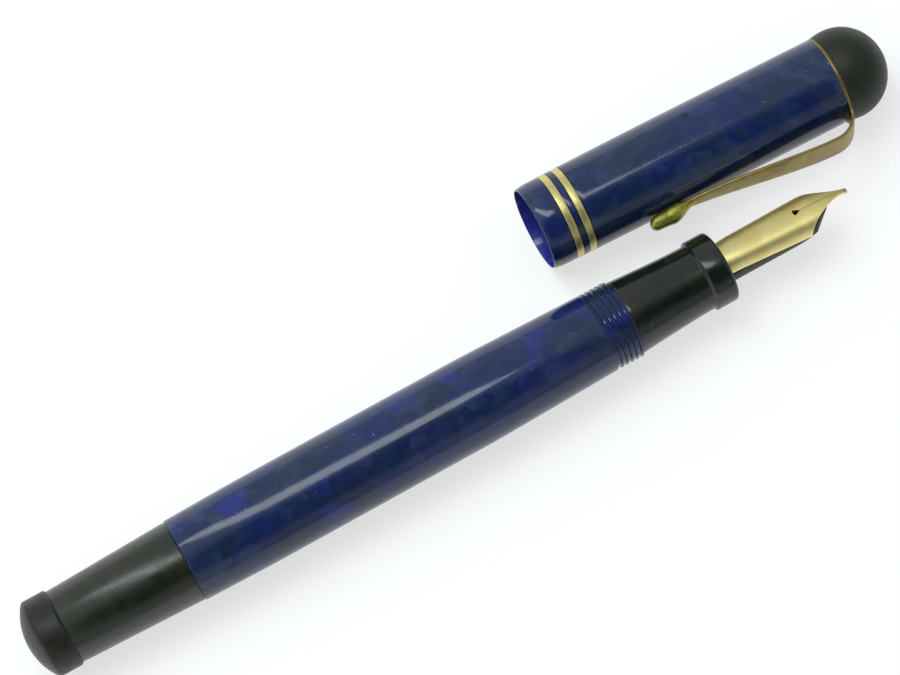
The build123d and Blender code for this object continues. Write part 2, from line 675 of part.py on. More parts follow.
def cap_top():
    """The black dome, with a hollow stud that screws into the cap tube through the clip's ring."""
    base = (clip_ring_end, CAP_TOP_BASE_RADIUS)
    flare = (dome_start, CAP_TOP_FLARE_RADIUS)
    tip = (dome_start + CAP_TOP_DOME, 0)
    side = Spline(base, flare, tangents=[(1, CAP_TOP_BASE_SLOPE), (1, 0)])
    angle = radians(CAP_TOP_HAUNCH)
    haunch = (dome_start + CAP_TOP_DOME * cos(angle), CAP_TOP_FLARE_RADIUS * sin(angle))
    dome = Spline(flare, haunch, tip, tangents=[(1, 0), (0, -1)])
    bore_end = clip_ring_end + STUD_BORE_RISE
    outline = Polyline(
        tip,
        (bore_end, 0),
        (bore_end, STUD_BORE_RADIUS),
        (collar_start, STUD_BORE_RADIUS),
        (collar_start, STUD_RADIUS),
        (clip_ring_end, STUD_RADIUS),
        base,
    )
    return turned(side, dome, outline)


def clip_side(offset):
    """The arm's side outline over the cap's axis, one face of it, from the ring to the neck."""
    ring_x = CAP_TUBE_LENGTH + CLIP_RING_THICKNESS / 2 + offset
    bend = CLIP_BEND_RADIUS + offset
    crest = CLIP_CREST + offset
    bend_x = ring_x - bend
    riser = Line((ring_x, STUD_RADIUS + CLIP_RISER_BITE), (ring_x, crest - bend))
    corner = RadiusArc((ring_x, crest - bend), (bend_x, crest), -bend)
    arm = Spline(
        (bend_x, crest),
        (CLIP_MIDDLE, CLIP_MIDDLE_RISE + offset),
        (CLIP_NECK, CLIP_NECK_RISE + offset),
        (CLIP_NECK - CLIP_TONGUE, CLIP_NECK_RISE + offset - CLIP_TONGUE_DROP),
        tangents=[(-1, 0), (-1, -CLIP_TONGUE_SLOPE)],
    )
    return [riser, corner, arm]


def clip_arm():
    """The flat spring arm, wide at the ring and narrow at the neck."""
    upper = clip_side(CLIP_SHEET / 2)
    lower = clip_side(-CLIP_SHEET / 2)
    ends = [Line(upper[0] @ 0, lower[0] @ 0), Line(upper[-1] @ 1, lower[-1] @ 1)]
    bar = side_plate(CLIP_WIDTH, *upper, *lower, *ends)
    wide = CLIP_WIDTH / 2
    narrow = CLIP_NECK_WIDTH / 2
    tongue_x = CLIP_NECK - CLIP_TONGUE
    end_x = clip_ring_end + CUT_MARGIN
    plan = Polyline(
        (tongue_x, -narrow), (CLIP_NECK, -narrow), (CLIP_TAPER_START, -wide), (end_x, -wide),
        (end_x, wide), (CLIP_TAPER_START, wide), (CLIP_NECK, narrow), (tongue_x, narrow),
        close=True,
    )
    return bar & extrude(make_face([plan]), 2 * CLIP_CREST)


def clip():
    """One stamping: the ring round the stud and the spring arm."""
    ring = rod(CAP_TUBE_LENGTH, clip_ring_end, CLIP_RING_RADIUS)
    hole = STUD_RADIUS + CEMENT_GAP
    ring -= rod(CAP_TUBE_LENGTH - CUT_MARGIN, clip_ring_end + CUT_MARGIN, hole)
    return ring + clip_arm()


def clip_ball():
    """A drawn-out drop under the arm's end, with a pocket for the arm's tongue."""
    height = CAP_SWELL_RADIUS + BALL_GAP + BALL_RADIUS
    widest = (BALL_START + BALL_WIDEST, BALL_RADIUS)
    back = (BALL_START + BALL_LENGTH, BALL_BACK_RADIUS)
    nose = Spline((BALL_START, 0), widest, tangents=[(0, 1), (1, 0)])
    tail = Spline(widest, back, tangents=[(1, 0), (1, -BALL_BACK_SLOPE)])
    closing = Polyline(back, (back[0], 0), (BALL_START, 0))
    drop = Pos(0, 0, height) * turned(nose, tail, closing)
    return drop - clip_arm()


pen_parts = {
    "barrel": barrel(),
    "section": section(),
    "nib": nib(),
    "nib_tipping": nib_tipping(),
    "feed": feed(),
    "ink_sac": ink_sac(),
    "spring_leaf": spring_leaf(),
    "presser_bar": presser_bar(),
    "presser_rivets": presser_rivets(),
    "button_bushing": button_bushing(),
    "filler_button": filler_button(),
    "blind_cap": blind_cap(),
    "tail_knob": tail_knob(),
}
cap_parts = {
    "cap_tube": cap_tube(),
    "inner_cap": inner_cap(),
    "cap_top": cap_top(),
    "clip": Rot(CLIP_ANGLE, 0, 0) * clip(),
    "clip_ball": Rot(CLIP_ANGLE, 0, 0) * clip_ball(),
}
for name, start in BAND_STARTS.items():
    cap_parts[name] = cap_band(start)

cap_place = Pos(CAP_MOUTH_X, CAP_MOUTH_Y, cap_axis_height) * Rot(0, 0, CAP_YAW)
os.makedirs("parts", exist_ok=True)
for name, shape in pen_parts.items():
    export_step(shape, f"parts/{name}.step")
for name, shape in cap_parts.items():
    export_step(cap_place * shape, f"parts/{name}.step")
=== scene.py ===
import json
import math

import bpy
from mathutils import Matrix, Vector


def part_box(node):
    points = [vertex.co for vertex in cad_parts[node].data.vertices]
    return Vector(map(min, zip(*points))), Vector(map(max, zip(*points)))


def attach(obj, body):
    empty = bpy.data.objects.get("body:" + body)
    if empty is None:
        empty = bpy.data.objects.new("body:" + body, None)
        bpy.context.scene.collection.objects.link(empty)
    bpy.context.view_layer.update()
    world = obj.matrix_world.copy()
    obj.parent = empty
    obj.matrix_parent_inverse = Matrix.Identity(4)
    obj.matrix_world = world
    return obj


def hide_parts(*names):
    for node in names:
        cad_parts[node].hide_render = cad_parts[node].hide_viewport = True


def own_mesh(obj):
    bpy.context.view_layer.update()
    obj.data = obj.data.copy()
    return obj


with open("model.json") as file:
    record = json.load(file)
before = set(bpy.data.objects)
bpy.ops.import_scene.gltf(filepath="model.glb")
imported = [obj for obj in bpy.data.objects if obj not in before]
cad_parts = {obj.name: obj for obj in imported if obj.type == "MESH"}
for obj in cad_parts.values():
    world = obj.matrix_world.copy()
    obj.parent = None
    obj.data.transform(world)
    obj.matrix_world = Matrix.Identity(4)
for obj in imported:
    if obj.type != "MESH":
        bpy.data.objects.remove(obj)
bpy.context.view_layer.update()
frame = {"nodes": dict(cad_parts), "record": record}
record = frame["record"]

# ---- units and fineness ----
MM = 0.001
WELD = 1e-6                    # points nearer than this are one point
TURN_STEPS = 144               # flats round a turned piece, too fine to be seen
SMOOTH_BELOW = math.radians(32)  # gentler edges are shaded smooth, sharper ones are rounded first
FIT_GAP = 0.01                 # between a piece and the one that it is fitted in

# ---- sizes of the pen, in millimetres along its axis and out from it ----
BELLY_HALF = 18.0
BELLY_BLEND = 2.0
BARREL_TAIL_RADIUS = 6.18
TAIL_ROUNDING = 0.15
NECK_RADIUS = 5.90
BARREL_BORE = 5.20
BARREL_SOCKET = 4.61
SOCKET_DEPTH = 6.0
THREAD_PITCH = 0.80
THREAD_TURNS = 5
THREAD_ROOT = 5.63
THREAD_CREST = 5.90
THREAD_FLANK = 0.17
THREAD_LAND = 0.22
THREAD_SINK = 0.05             # how far a ridge's foot runs into its wall
THREAD_LENGTH = (THREAD_TURNS + 0.5) * THREAD_PITCH
NECK_CHAMFER = 0.12
THREAD_LEAD = 0.18             # from the neck's end to the first ridge

SECTION_BACK_RADIUS = 5.58
SECTION_BACK_SLOPE = -0.065
SECTION_WAIST_RADIUS = 4.93
SECTION_WAIST_SLOPE = -0.015
SECTION_TAPER = 11.9
SECTION_TENON = 4.60
LIP_LEAD = 0.02                # level, before the lip rises
LIP_RADIUS = 5.35
LIP_RISE = 0.55
LIP_ROUNDING = 0.55
NIPPLE_RADIUS = 3.18
NIPPLE_NOSE = 0.6              # the slope that leads the sac on
NIPPLE_NOSE_DROP = 0.3
INK_BORE = 1.60
NIB_BORE = 3.07
NIB_SEAT = 19.6

BLIND_CAP_FRONT = 6.02
BLIND_CAP_BACK = 5.46
BLIND_CAP_BORE = 4.20
BLIND_CAP_SOCKET = 4.70
BLIND_CAP_SOCKET_DEPTH = 8.3
KNOB_RADIUS = 5.76
KNOB_LENGTH = 3.65
KNOB_DOME = 1.95
KNOB_ROUNDING = 0.55
KNOB_BEAD_SETBACK = 0.75       # from the dome's edge to the middle of the rounding
KNOB_BEAD_LENGTH = 0.62
KNOB_CHAMFER = 0.25
KNOB_SPIGOT = 4.0

BUTTON_RADIUS = 3.0
BUTTON_WALL = 0.40
BUTTON_END = 0.8
BUTTON_ROUNDING = 0.6
BUTTON_FLANGE = 0.8
BUTTON_FLANGE_RADIUS = 4.2
BUSHING_INSIDE = 6.0
BUSHING_BORE = 3.05
BUSHING_ROOT = 4.35
BUSHING_CREST = 4.60
BUSHING_TURNS = 7

# ---- sizes of the cap, along its own axis from its mouth ----
CAP_RIM = 6.14
CAP_RIM_SLOPE = 0.30
CAP_LIP = 6.40
CAP_LIP_LENGTH = 2.3
CAP_LIP_SLOPE = 0.012
CAP_SWELL = 6.54
CAP_END_RADIUS = 6.50
CAP_TUBE_LENGTH = 47.35
CAP_PLAIN_START = 7.5          # where the tube runs on plainly behind its bands
CAP_MOUTH_BORE = 5.99
CAP_THREAD_RELIEF = 2.46
CAP_THREAD_LEAD = 0.3          # from the relief to the first ridge
CAP_THREAD_ROOT = 5.96
CAP_THREAD_CREST = 5.69
CAP_BORE = 5.75
CAP_COLLAR_BORE = 4.86
CAP_COLLAR_START = 41.35
BAND_STARTS = {"cap_band_lower": 3.55, "cap_band_upper": 5.60}
BAND_WIDTH = 1.05
BAND_RADIUS = 6.45
BAND_THICKNESS = 0.22
BAND_CROWN = 0.02
INNER_CAP_START = 23.06
INNER_CAP_BORE = 4.60
INNER_CAP_FLARE = 0.5
STUD_RADIUS = 4.85
STUD_BORE = 3.9
STUD_BORE_END = 49.25
CLIP_RING_END = 47.85
CLIP_RING_RADIUS = 6.52
CAP_TOP_BASE = 6.48
CAP_TOP_BASE_SLOPE = 0.25
CAP_TOP_FLARE = 6.74
CAP_TOP_FLARE_END = 49.95
CAP_TOP_BELT = 0.05            # level, between the flare and the dome
CAP_TOP_DOME = 6.4

# ---- places read from the frame ----
barrel_low, barrel_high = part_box("barrel")
barrel_tail = barrel_low.x / MM
barrel_mouth = barrel_high.x / MM
belly_radius = barrel_high.z / MM
section_low, section_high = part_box("section")
section_front = section_high.x / MM
nipple_back = section_low.x / MM
blind_low, blind_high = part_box("blind_cap")
blind_back = blind_low.x / MM
blind_front = blind_high.x / MM
button_low, button_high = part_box("filler_button")
button_back = button_low.x / MM
button_front = button_high.x / MM
bushing_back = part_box("button_bushing")[0].x / MM
bar_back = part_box("presser_bar")[0].x / MM
leaf_low, leaf_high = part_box("spring_leaf")
floor_height = min(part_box(name)[0].z for name in frame["nodes"])

# the cap lies apart, along its own axis
mouth_mount = [mount for mount in record["mounts"] if mount["name"] == "cap_mouth"][0]
cap_way_out = Vector(mouth_mount["axis"])
cap_mouth = Vector(mouth_mount["pos_m"]) + cap_way_out * mouth_mount["dims"]["length_mm"] / 2 * MM
cap_yaw = math.atan2(-cap_way_out.y, -cap_way_out.x)


# ======== outlines ========

def spread(start, end, count):
    """Evenly spaced values from start to end, both counted."""
    return [start + (end - start) * i / (count - 1) for i in range(count)]


def ease(start, start_slope, end, end_slope, count=9):
    """A smooth line between two (length, radius) points, with a slope given at each end."""
    span = end[0] - start[0]
    points = []
    for t in spread(0, 1, count):
        near = 2 * t**3 - 3 * t**2 + 1
        leave = t**3 - 2 * t**2 + t
        arrive = t**3 - t**2
        between = near * start[1] + (1 - near) * end[1]
        points.append((start[0] + span * t, between + span * (leave * start_slope + arrive * end_slope)))
    return points


def arc(centre, across, along, start, end, count=9):
    """An elliptical arc, its angles in degrees counted from the way of the axis outwards."""
    points = []
    for angle in spread(math.radians(start), math.radians(end), count):
        points.append((centre[0] + along * math.cos(angle), centre[1] + across * math.sin(angle)))
    return points


# ======== workshop ========

def select_only(piece):
    """Makes the piece the one selected and active object."""
    bpy.ops.object.select_all(action="DESELECT")
    piece.select_set(True)
    bpy.context.view_layer.objects.active = piece


def apply_place(piece):
    """Moves the piece's place and turn into its mesh."""
    select_only(piece)
    bpy.ops.object.transform_apply(location=True, rotation=True, scale=True)


def modify(piece, kind, **settings):
    """Adds one modifier to the piece and applies it."""
    select_only(piece)
    bpy.ops.object.modifier_add(type=kind)
    modifier = piece.modifiers[-1]
    for key, value in settings.items():
        setattr(modifier, key, value)
    bpy.ops.object.modifier_apply(modifier=modifier.name)


def finish_edges(piece, width=0.06, segments=3):
    """Rounds the sharp edges by a width in millimetres, unless it is 0, and shades the rest smooth."""
    if width:
        modify(piece, "BEVEL", width=width * MM, segments=segments, limit_method="ANGLE",
               angle_limit=SMOOTH_BELOW, use_clamp_overlap=True)
    select_only(piece)
    bpy.ops.object.shade_smooth_by_angle(angle=SMOOTH_BELOW)


def open_mesh(piece):
    """Enters edit mode on the piece alone, with all of its mesh selected."""
    select_only(piece)
    bpy.ops.object.mode_set(mode="EDIT")
    bpy.ops.mesh.select_all(action="SELECT")


def weld():
    """Merges the points of the open mesh that lie in one place."""
    bpy.ops.mesh.select_all(action="SELECT")
    bpy.ops.mesh.remove_doubles(threshold=WELD)


def close_mesh():
    """Turns the faces of the open mesh outwards and leaves edit mode."""
    bpy.ops.mesh.select_all(action="SELECT")
    bpy.ops.mesh.normals_make_consistent(inside=False)
    bpy.ops.object.mode_set(mode="OBJECT")


def draw_wire(name, points):
    """A wire through the points, in millimetres, drawn by extruding one point; stays in edit mode."""
    bpy.ops.object.select_all(action="DESELECT")
    bpy.ops.mesh.primitive_plane_add(size=MM)
    wire = bpy.context.object
    wire.name = wire.data.name = name
    open_mesh(wire)
    bpy.ops.mesh.merge(type="CENTER")
    here = Vector(points[0]) * MM
    bpy.ops.transform.translate(value=here)
    for point in points[1:]:
        there = Vector(point) * MM
        bpy.ops.mesh.extrude_vertices_move(TRANSFORM_OT_translate={"value": there - here})
        here = there
    weld()
    return wire


def turn(name, outline, edge=0.06):
    """A turned piece: an outline of (length, radius) spun round the X axis and welded."""
    piece = draw_wire(name, [(x, radius, 0) for x, radius in outline])
    bpy.ops.mesh.spin(steps=TURN_STEPS, angle=math.tau, center=(0, 0, 0), axis=(1, 0, 0))
    weld()
    close_mesh()
    finish_edges(piece, edge)
    return piece


def thread(name, start, turns, root, crest):
    """One raised helix, with closed ends, that starts at a place along the X axis."""
    foot = root + math.copysign(THREAD_SINK, root - crest)
    profile = [
        (start, foot, 0),
        (start + THREAD_FLANK, crest, 0),
        (start + THREAD_FLANK + THREAD_LAND, crest, 0),
        (start + 2 * THREAD_FLANK + THREAD_LAND, foot, 0),
        (start, foot, 0),
    ]
    piece = draw_wire(name, profile)
    bpy.ops.object.mode_set(mode="OBJECT")
    modify(piece, "SCREW", axis="X", angle=math.tau, screw_offset=THREAD_PITCH * MM,
           iterations=turns, steps=TURN_STEPS, render_steps=TURN_STEPS, use_merge_vertices=False)
    open_mesh(piece)
    weld()
    bpy.ops.mesh.fill_holes(sides=0)
    close_mesh()
    finish_edges(piece, width=0)
    return piece


def join(piece, *others):
    """Joins the others into the piece."""
    select_only(piece)
    for other in others:
        other.select_set(True)
    bpy.ops.object.join()
    return piece


def onto_cap(piece, lean=0.0):
    """Lays a piece made along X, mouth at 0, where the cap lies, turned round its axis by a lean."""
    piece.rotation_euler = (math.radians(lean), 0, cap_yaw)
    piece.location = cap_mouth
    apply_place(piece)
    return piece


# ======== pieces of the pen ========

def make_barrel():
    """Straight belly, tapers to both ends, helical thread at the mouth."""
    neck_end = barrel_mouth - THREAD_LENGTH
    neck_slope = (belly_radius - NECK_RADIUS) / (neck_end - BELLY_HALF)
    tail_slope = (belly_radius - BARREL_TAIL_RADIUS) / (-BELLY_HALF - barrel_tail)
    socket_back = barrel_mouth - SOCKET_DEPTH
    outline = [
        (barrel_tail, BARREL_BORE),
        *arc((barrel_tail + TAIL_ROUNDING, BARREL_TAIL_RADIUS - TAIL_ROUNDING),
             TAIL_ROUNDING, TAIL_ROUNDING, 180, 90, 5),
        *ease((-BELLY_HALF - BELLY_BLEND, belly_radius - BELLY_BLEND * tail_slope), tail_slope,
              (-BELLY_HALF + BELLY_BLEND, belly_radius), 0),
        *ease((BELLY_HALF - BELLY_BLEND, belly_radius), 0,
              (BELLY_HALF + BELLY_BLEND, belly_radius - BELLY_BLEND * neck_slope), -neck_slope),
        (neck_end, NECK_RADIUS),
        (neck_end + NECK_CHAMFER, THREAD_ROOT),
        (barrel_mouth, THREAD_ROOT),
        (barrel_mouth, BARREL_SOCKET),
        (socket_back, BARREL_SOCKET),
        (socket_back, BARREL_BORE),
        (barrel_tail, BARREL_BORE),
    ]
    barrel = turn("barrel_tube", outline)
    helix = thread("barrel_thread", neck_end + THREAD_LEAD, THREAD_TURNS, THREAD_ROOT, THREAD_CREST)
    return join(barrel, helix)


def make_section():
    """The grip: tenon and nipple behind, hollow waist, rounded lip, bored through."""
    waist = barrel_mouth + SECTION_TAPER
    lip = waist + LIP_RISE
    tenon_back = barrel_mouth - SOCKET_DEPTH
    rounding = (section_front - LIP_ROUNDING, LIP_RADIUS - LIP_ROUNDING)
    seat_back = section_front - NIB_SEAT
    outline = [
        (nipple_back, INK_BORE),
        (nipple_back, NIPPLE_RADIUS - NIPPLE_NOSE_DROP),
        (nipple_back + NIPPLE_NOSE, NIPPLE_RADIUS),
        (tenon_back, NIPPLE_RADIUS),
        (tenon_back, SECTION_TENON),
        (barrel_mouth, SECTION_TENON),
        *ease((barrel_mouth, SECTION_BACK_RADIUS), SECTION_BACK_SLOPE,
              (waist, SECTION_WAIST_RADIUS), SECTION_WAIST_SLOPE, 21),
        *ease((waist + LIP_LEAD, SECTION_WAIST_RADIUS), 0, (lip, LIP_RADIUS), 0, 11),
        *reversed(arc(rounding, LIP_ROUNDING, LIP_ROUNDING, 0, 90)),
        (section_front, NIB_BORE),
        (seat_back, NIB_BORE),
        (seat_back, INK_BORE),
        (nipple_back, INK_BORE),
    ]
    return turn("grip_section", outline)


def make_blind_cap():
    """The tapered tube over the button, with its socket for the bushing."""
    socket_back = blind_front - BLIND_CAP_SOCKET_DEPTH
    outline = [
        (blind_back, BLIND_CAP_BORE),
        (blind_back, BLIND_CAP_BACK),
        (blind_front, BLIND_CAP_FRONT),
        (blind_front, BLIND_CAP_SOCKET),
        (socket_back, BLIND_CAP_SOCKET),
        (socket_back, BLIND_CAP_BORE),
        (blind_back, BLIND_CAP_BORE),
    ]
    return turn("blind_cap_tube", outline, edge=0.08)


def make_tail_knob():
    """The finger knob: low dome, rounded bead, spigot in the blind cap."""
    back = blind_back - KNOB_LENGTH
    sphere = (KNOB_RADIUS**2 + KNOB_DOME**2) / (2 * KNOB_DOME)
    edge_angle = math.degrees(math.asin((KNOB_RADIUS - KNOB_ROUNDING) / sphere))
    dome_centre = (back - KNOB_DOME + sphere, 0)
    shoulder_x = dome_centre[0] - sphere * math.cos(math.radians(edge_angle))
    outline = [
        *arc(dome_centre, sphere, sphere, 180, 180 - edge_angle, 17),
        *arc((shoulder_x + KNOB_BEAD_SETBACK, KNOB_RADIUS - KNOB_ROUNDING),
             KNOB_ROUNDING, KNOB_BEAD_LENGTH, 135, 90, 5),
        (blind_back - KNOB_CHAMFER, KNOB_RADIUS),
        (blind_back, KNOB_RADIUS - KNOB_CHAMFER),
        (blind_back, BLIND_CAP_BORE - FIT_GAP),
        (blind_back + KNOB_SPIGOT, BLIND_CAP_BORE - FIT_GAP),
        (blind_back + KNOB_SPIGOT, 0),
    ]
    return turn("finger_knob", outline, edge=0.10)


def make_bushing():
    """The ring in the barrel's tail, with the blind cap's helical thread."""
    inside = barrel_tail + BUSHING_INSIDE
    outline = [
        (bushing_back, BUSHING_BORE),
        (bushing_back, BUSHING_ROOT),
        (barrel_tail, BUSHING_ROOT),
        (barrel_tail, BARREL_BORE - FIT_GAP),
        (inside, BARREL_BORE - FIT_GAP),
        (inside, BUSHING_BORE),
        (bushing_back, BUSHING_BORE),
    ]
    ring = turn("bushing_ring", outline)
    helix = thread("bushing_thread", bushing_back + THREAD_PITCH, BUSHING_TURNS,
                   BUSHING_ROOT, BUSHING_CREST)
    return join(ring, helix)


def make_button():
    """The spun metal thimble that is pushed in to fill the pen."""
    inner = BUTTON_RADIUS - BUTTON_WALL
    flange_back = button_front - BUTTON_FLANGE
    outline = [
        (button_back, 0),
        *reversed(arc((button_back + BUTTON_ROUNDING, BUTTON_RADIUS - BUTTON_ROUNDING),
                      BUTTON_ROUNDING, BUTTON_ROUNDING, 90, 180)),
        (flange_back, BUTTON_RADIUS),
        (flange_back, BUTTON_FLANGE_RADIUS),
        (button_front, BUTTON_FLANGE_RADIUS),
        (button_front, inner),
        (button_back + BUTTON_END, inner),
        (button_back + BUTTON_END, 0),
    ]
    return turn("button_thimble", outline)


# ---- the sprung strip that pushes the button back and carries the presser bar ----
LEAF_THICKNESS = 0.35
LEAF_HEIGHT = 4.60             # of the strip's middle over the pen's axis
LEAF_FOOT_DROP = 1.4
LEAF_BUTTON_HEIGHT = 1.15
LEAF_BEND_GAP = 0.6
LEAF_BEND_LENGTH = 11.5


def make_leaf():
    """A foot against the section, a run along the bore's top, and a bent end inside the button."""
    foot = leaf_high.x / MM - LEAF_THICKNESS / 2
    bend = bar_back - LEAF_BEND_GAP
    path = [
        (foot, LEAF_HEIGHT - LEAF_FOOT_DROP),
        (foot, LEAF_HEIGHT),
        *ease((bend, LEAF_HEIGHT), 0, (bend - LEAF_BEND_LENGTH, LEAF_BUTTON_HEIGHT), 0, 15),
        (leaf_low.x / MM, LEAF_BUTTON_HEIGHT),
    ]
    leaf = draw_wire("pressure_leaf", [(x, leaf_low.y / MM, height) for x, height in path])
    bpy.ops.mesh.extrude_region_move(TRANSFORM_OT_translate={"value": (0, leaf_high.y - leaf_low.y, 0)})
    close_mesh()
    modify(leaf, "SOLIDIFY", thickness=LEAF_THICKNESS * MM, offset=0, use_even_offset=True)
    finish_edges(leaf, width=0.05, segments=2)
    return leaf


# ---- the nib: a flat sheet laid over a former, doubled, and given its thickness ----
NIB_HEEL = -16.0               # all nib lengths are taken from the section's front
NIB_SHOULDER = 13.1
NIB_FLANK = 15.35
NIB_TINE_ROOT = 17.9
NIB_TIP = 20.5
NIB_ROOT_WIDTH = 2.80          # the nib's widths are half widths
NIB_SHOULDER_WIDTH = 3.38
NIB_FLANK_WIDTH = 2.21
NIB_TINE_WIDTH = 0.94
NIB_TIP_WIDTH = 0.365
NIB_SHEET = 0.32
NIB_ROLL = -23.0
SLIT_HALF = 0.035
HEART_START = 12.13
HEART_WIDEST = 12.42
HEART_END = 13.35
HEART_HALF_WIDTH = 0.50
SHEET_COLUMNS = 22
COLUMN_FAN = math.radians(75)  # crowds the columns towards the sheet's edge
# rows of the sheet: (start, end, count), closest at the breather hole and the tines
SHEET_ROWS = [(NIB_HEEL, 0, 9), (0.6, 11.8, 15), (HEART_START, HEART_WIDEST, 7),
              (HEART_WIDEST + 0.1, NIB_SHOULDER, 6), (NIB_SHOULDER + 0.15, NIB_TIP, 48)]

NIB_SHOULDER_RADIUS = 4.17
NIB_SHOULDER_CENTRE = -1.55
# stations of the former's arch: (length, half width, height, squareness); 2 is round
NIB_ARCH = [(-17.0, 3.06, 3.06, 2.0), (-3.0, 3.06, 3.06, 2.0), (0.0, 2.88, 3.06, 2.3),
            (2.0, 2.94, 3.23, 2.9), (NIB_SHOULDER, 3.45, NIB_SHOULDER_RADIUS, 3.2)]
ARCH_PAST_LEVEL = math.radians(8)  # each arch runs on below its centre
ARCH_POINTS = 193
NIB_DROOP = 1.05
FRONT_SWEEP = math.radians(24)  # carries the former's drooping front well past the tip
FRONT_STEPS = 40


def nib_half_width(length):
    """Half the nib's width at a length: straight to the shoulder, then one curve through its knots."""
    if length <= NIB_SHOULDER:
        share = max(length, 0) / NIB_SHOULDER
        return NIB_ROOT_WIDTH + (NIB_SHOULDER_WIDTH - NIB_ROOT_WIDTH) * share
    knots = [(NIB_SHOULDER, NIB_SHOULDER_WIDTH), (NIB_FLANK, NIB_FLANK_WIDTH),
             (NIB_TINE_ROOT, NIB_TINE_WIDTH), (NIB_TIP, NIB_TIP_WIDTH)]
    total = 0
    for place, width in knots:
        term = width
        for other, _ in knots:
            if other != place:
                term *= (length - other) / (place - other)
        total += term
    return total


def nib_inner_edge(length):
    """How far from the middle the half sheet starts, beside the breather hole and along the slit."""
    if length <= HEART_START:
        return 0.0
    if length < HEART_WIDEST:
        share = (HEART_WIDEST - length) / (HEART_WIDEST - HEART_START)
        return max(SLIT_HALF, HEART_HALF_WIDTH * math.sqrt(1 - share**2))
    if length < HEART_END:
        return max(SLIT_HALF, HEART_HALF_WIDTH * (HEART_END - length) / (HEART_END - HEART_WIDEST))
    return SLIT_HALF


def arch_wire(length, half_width, height, squareness):
    """One row of the former: an arch across the pen, left in object mode."""
    centre = NIB_SHOULDER_CENTRE * max(length, 0) / NIB_SHOULDER
    points = []
    for turned in spread(-ARCH_PAST_LEVEL, math.pi + ARCH_PAST_LEVEL, ARCH_POINTS):
        across, up = math.cos(turned), math.sin(turned)
        y = half_width * math.copysign(abs(across)**(2 / squareness), across)
        z = centre + height * math.copysign(abs(up)**(2 / squareness), up)
        points.append((section_front + length, y, z))
    wire = draw_wire("nib_former", points)
    bpy.ops.object.mode_set(mode="OBJECT")
    return wire


def make_nib_former():
    """The form that the sheet is laid over: arches bridged to the shoulders, then a drooping front."""
    rows = [arch_wire(*station) for station in NIB_ARCH]
    former = join(rows[0], *rows[1:])
    open_mesh(former)
    bpy.ops.mesh.bridge_edge_loops()
    bpy.ops.mesh.select_all(action="DESELECT")
    bpy.ops.object.mode_set(mode="OBJECT")
    points = former.data.vertices
    shoulder = (section_front + NIB_SHOULDER) * MM - WELD
    for edge in former.data.edges:
        edge.select = all(points[corner].co.x > shoulder for corner in edge.vertices)
    bpy.ops.object.mode_set(mode="EDIT")
    reach = NIB_TIP - NIB_SHOULDER
    droop_radius = (reach**2 + NIB_DROOP**2) / (2 * NIB_DROOP)
    crown = NIB_SHOULDER_CENTRE + NIB_ARCH[-1][2]
    droop_axis = ((section_front + NIB_SHOULDER) * MM, 0, (crown - NIB_SHEET / 2 - droop_radius) * MM)
    bpy.ops.mesh.spin(steps=FRONT_STEPS, angle=-FRONT_SWEEP, center=droop_axis, axis=(0, 1, 0))
    bpy.ops.object.mode_set(mode="OBJECT")
    return former


def cut_nib_sheet():
    """Half of the flat sheet, held above the former, with its side of the breather hole and slit."""
    lengths = [length for rows in SHEET_ROWS for length in spread(*rows)]
    shares = [math.sin(COLUMN_FAN * k / SHEET_COLUMNS) / math.sin(COLUMN_FAN)
              for k in range(SHEET_COLUMNS + 1)]
    above = 2 * NIB_SHOULDER_RADIUS
    first = lengths[0]
    row = [(section_front + first, nib_half_width(first) * share, above) for share in shares]
    nib = draw_wire("nib_sheet", row)
    for before, after in zip(lengths, lengths[1:]):
        old_inner, new_inner = nib_inner_edge(before), nib_inner_edge(after)
        factor = (nib_half_width(after) - new_inner) / (nib_half_width(before) - old_inner)
        step = ((after - before) * MM, (new_inner - old_inner) * MM, 0)
        bpy.ops.mesh.extrude_region_move(TRANSFORM_OT_translate={"value": step})
        pin = ((section_front + after) * MM, new_inner * MM, above * MM)
        bpy.ops.transform.resize(value=(1, factor, 1), center_override=pin)
    bpy.ops.object.mode_set(mode="OBJECT")
    return nib


def make_nib():
    """The gold sheet with breather hole, slit, hollow shoulders and slim tines."""
    former = make_nib_former()
    nib = cut_nib_sheet()
    modify(nib, "SHRINKWRAP", target=former, wrap_method="PROJECT", use_project_z=True,
           use_negative_direction=True, use_positive_direction=False)
    modify(nib, "MIRROR", use_axis=(False, True, False), merge_threshold=WELD)
    open_mesh(nib)
    close_mesh()
    if sum(face.normal.z for face in nib.data.polygons) < 0:    # the sheet grows inwards from its top
        nib.data.flip_normals()
    modify(nib, "SOLIDIFY", thickness=NIB_SHEET * MM, offset=-1, use_even_offset=True)
    finish_edges(nib, width=0.05, segments=2)
    bpy.data.objects.remove(former)
    nib.rotation_euler = (math.radians(NIB_ROLL), 0, 0)
    apply_place(nib)
    return nib


# ======== pieces of the cap ========

def cap_outside():
    """The cap tube's outside: rounded lip, then a slight swell, with two shallow grooves."""
    lip = ease((0, CAP_RIM), CAP_RIM_SLOPE, (CAP_LIP_LENGTH, CAP_LIP), CAP_LIP_SLOPE)
    middle = CAP_TUBE_LENGTH / 2
    back_swell = CAP_SWELL - CAP_END_RADIUS
    front_swell = CAP_SWELL - CAP_LIP

    def radius(length):
        swell = front_swell if length < middle else back_swell
        reach = middle - CAP_LIP_LENGTH if length < middle else middle
        return CAP_SWELL - swell * ((length - middle) / reach)**2

    grooves = []
    floor = BAND_RADIUS - BAND_THICKNESS
    for start in BAND_STARTS.values():
        end = start + BAND_WIDTH
        grooves += [(start, radius(start)), (start, floor), (end, floor), (end, radius(end))]
    plain = [(length, radius(length)) for length in spread(CAP_PLAIN_START, CAP_TUBE_LENGTH, 25)]
    return lip + grooves + plain


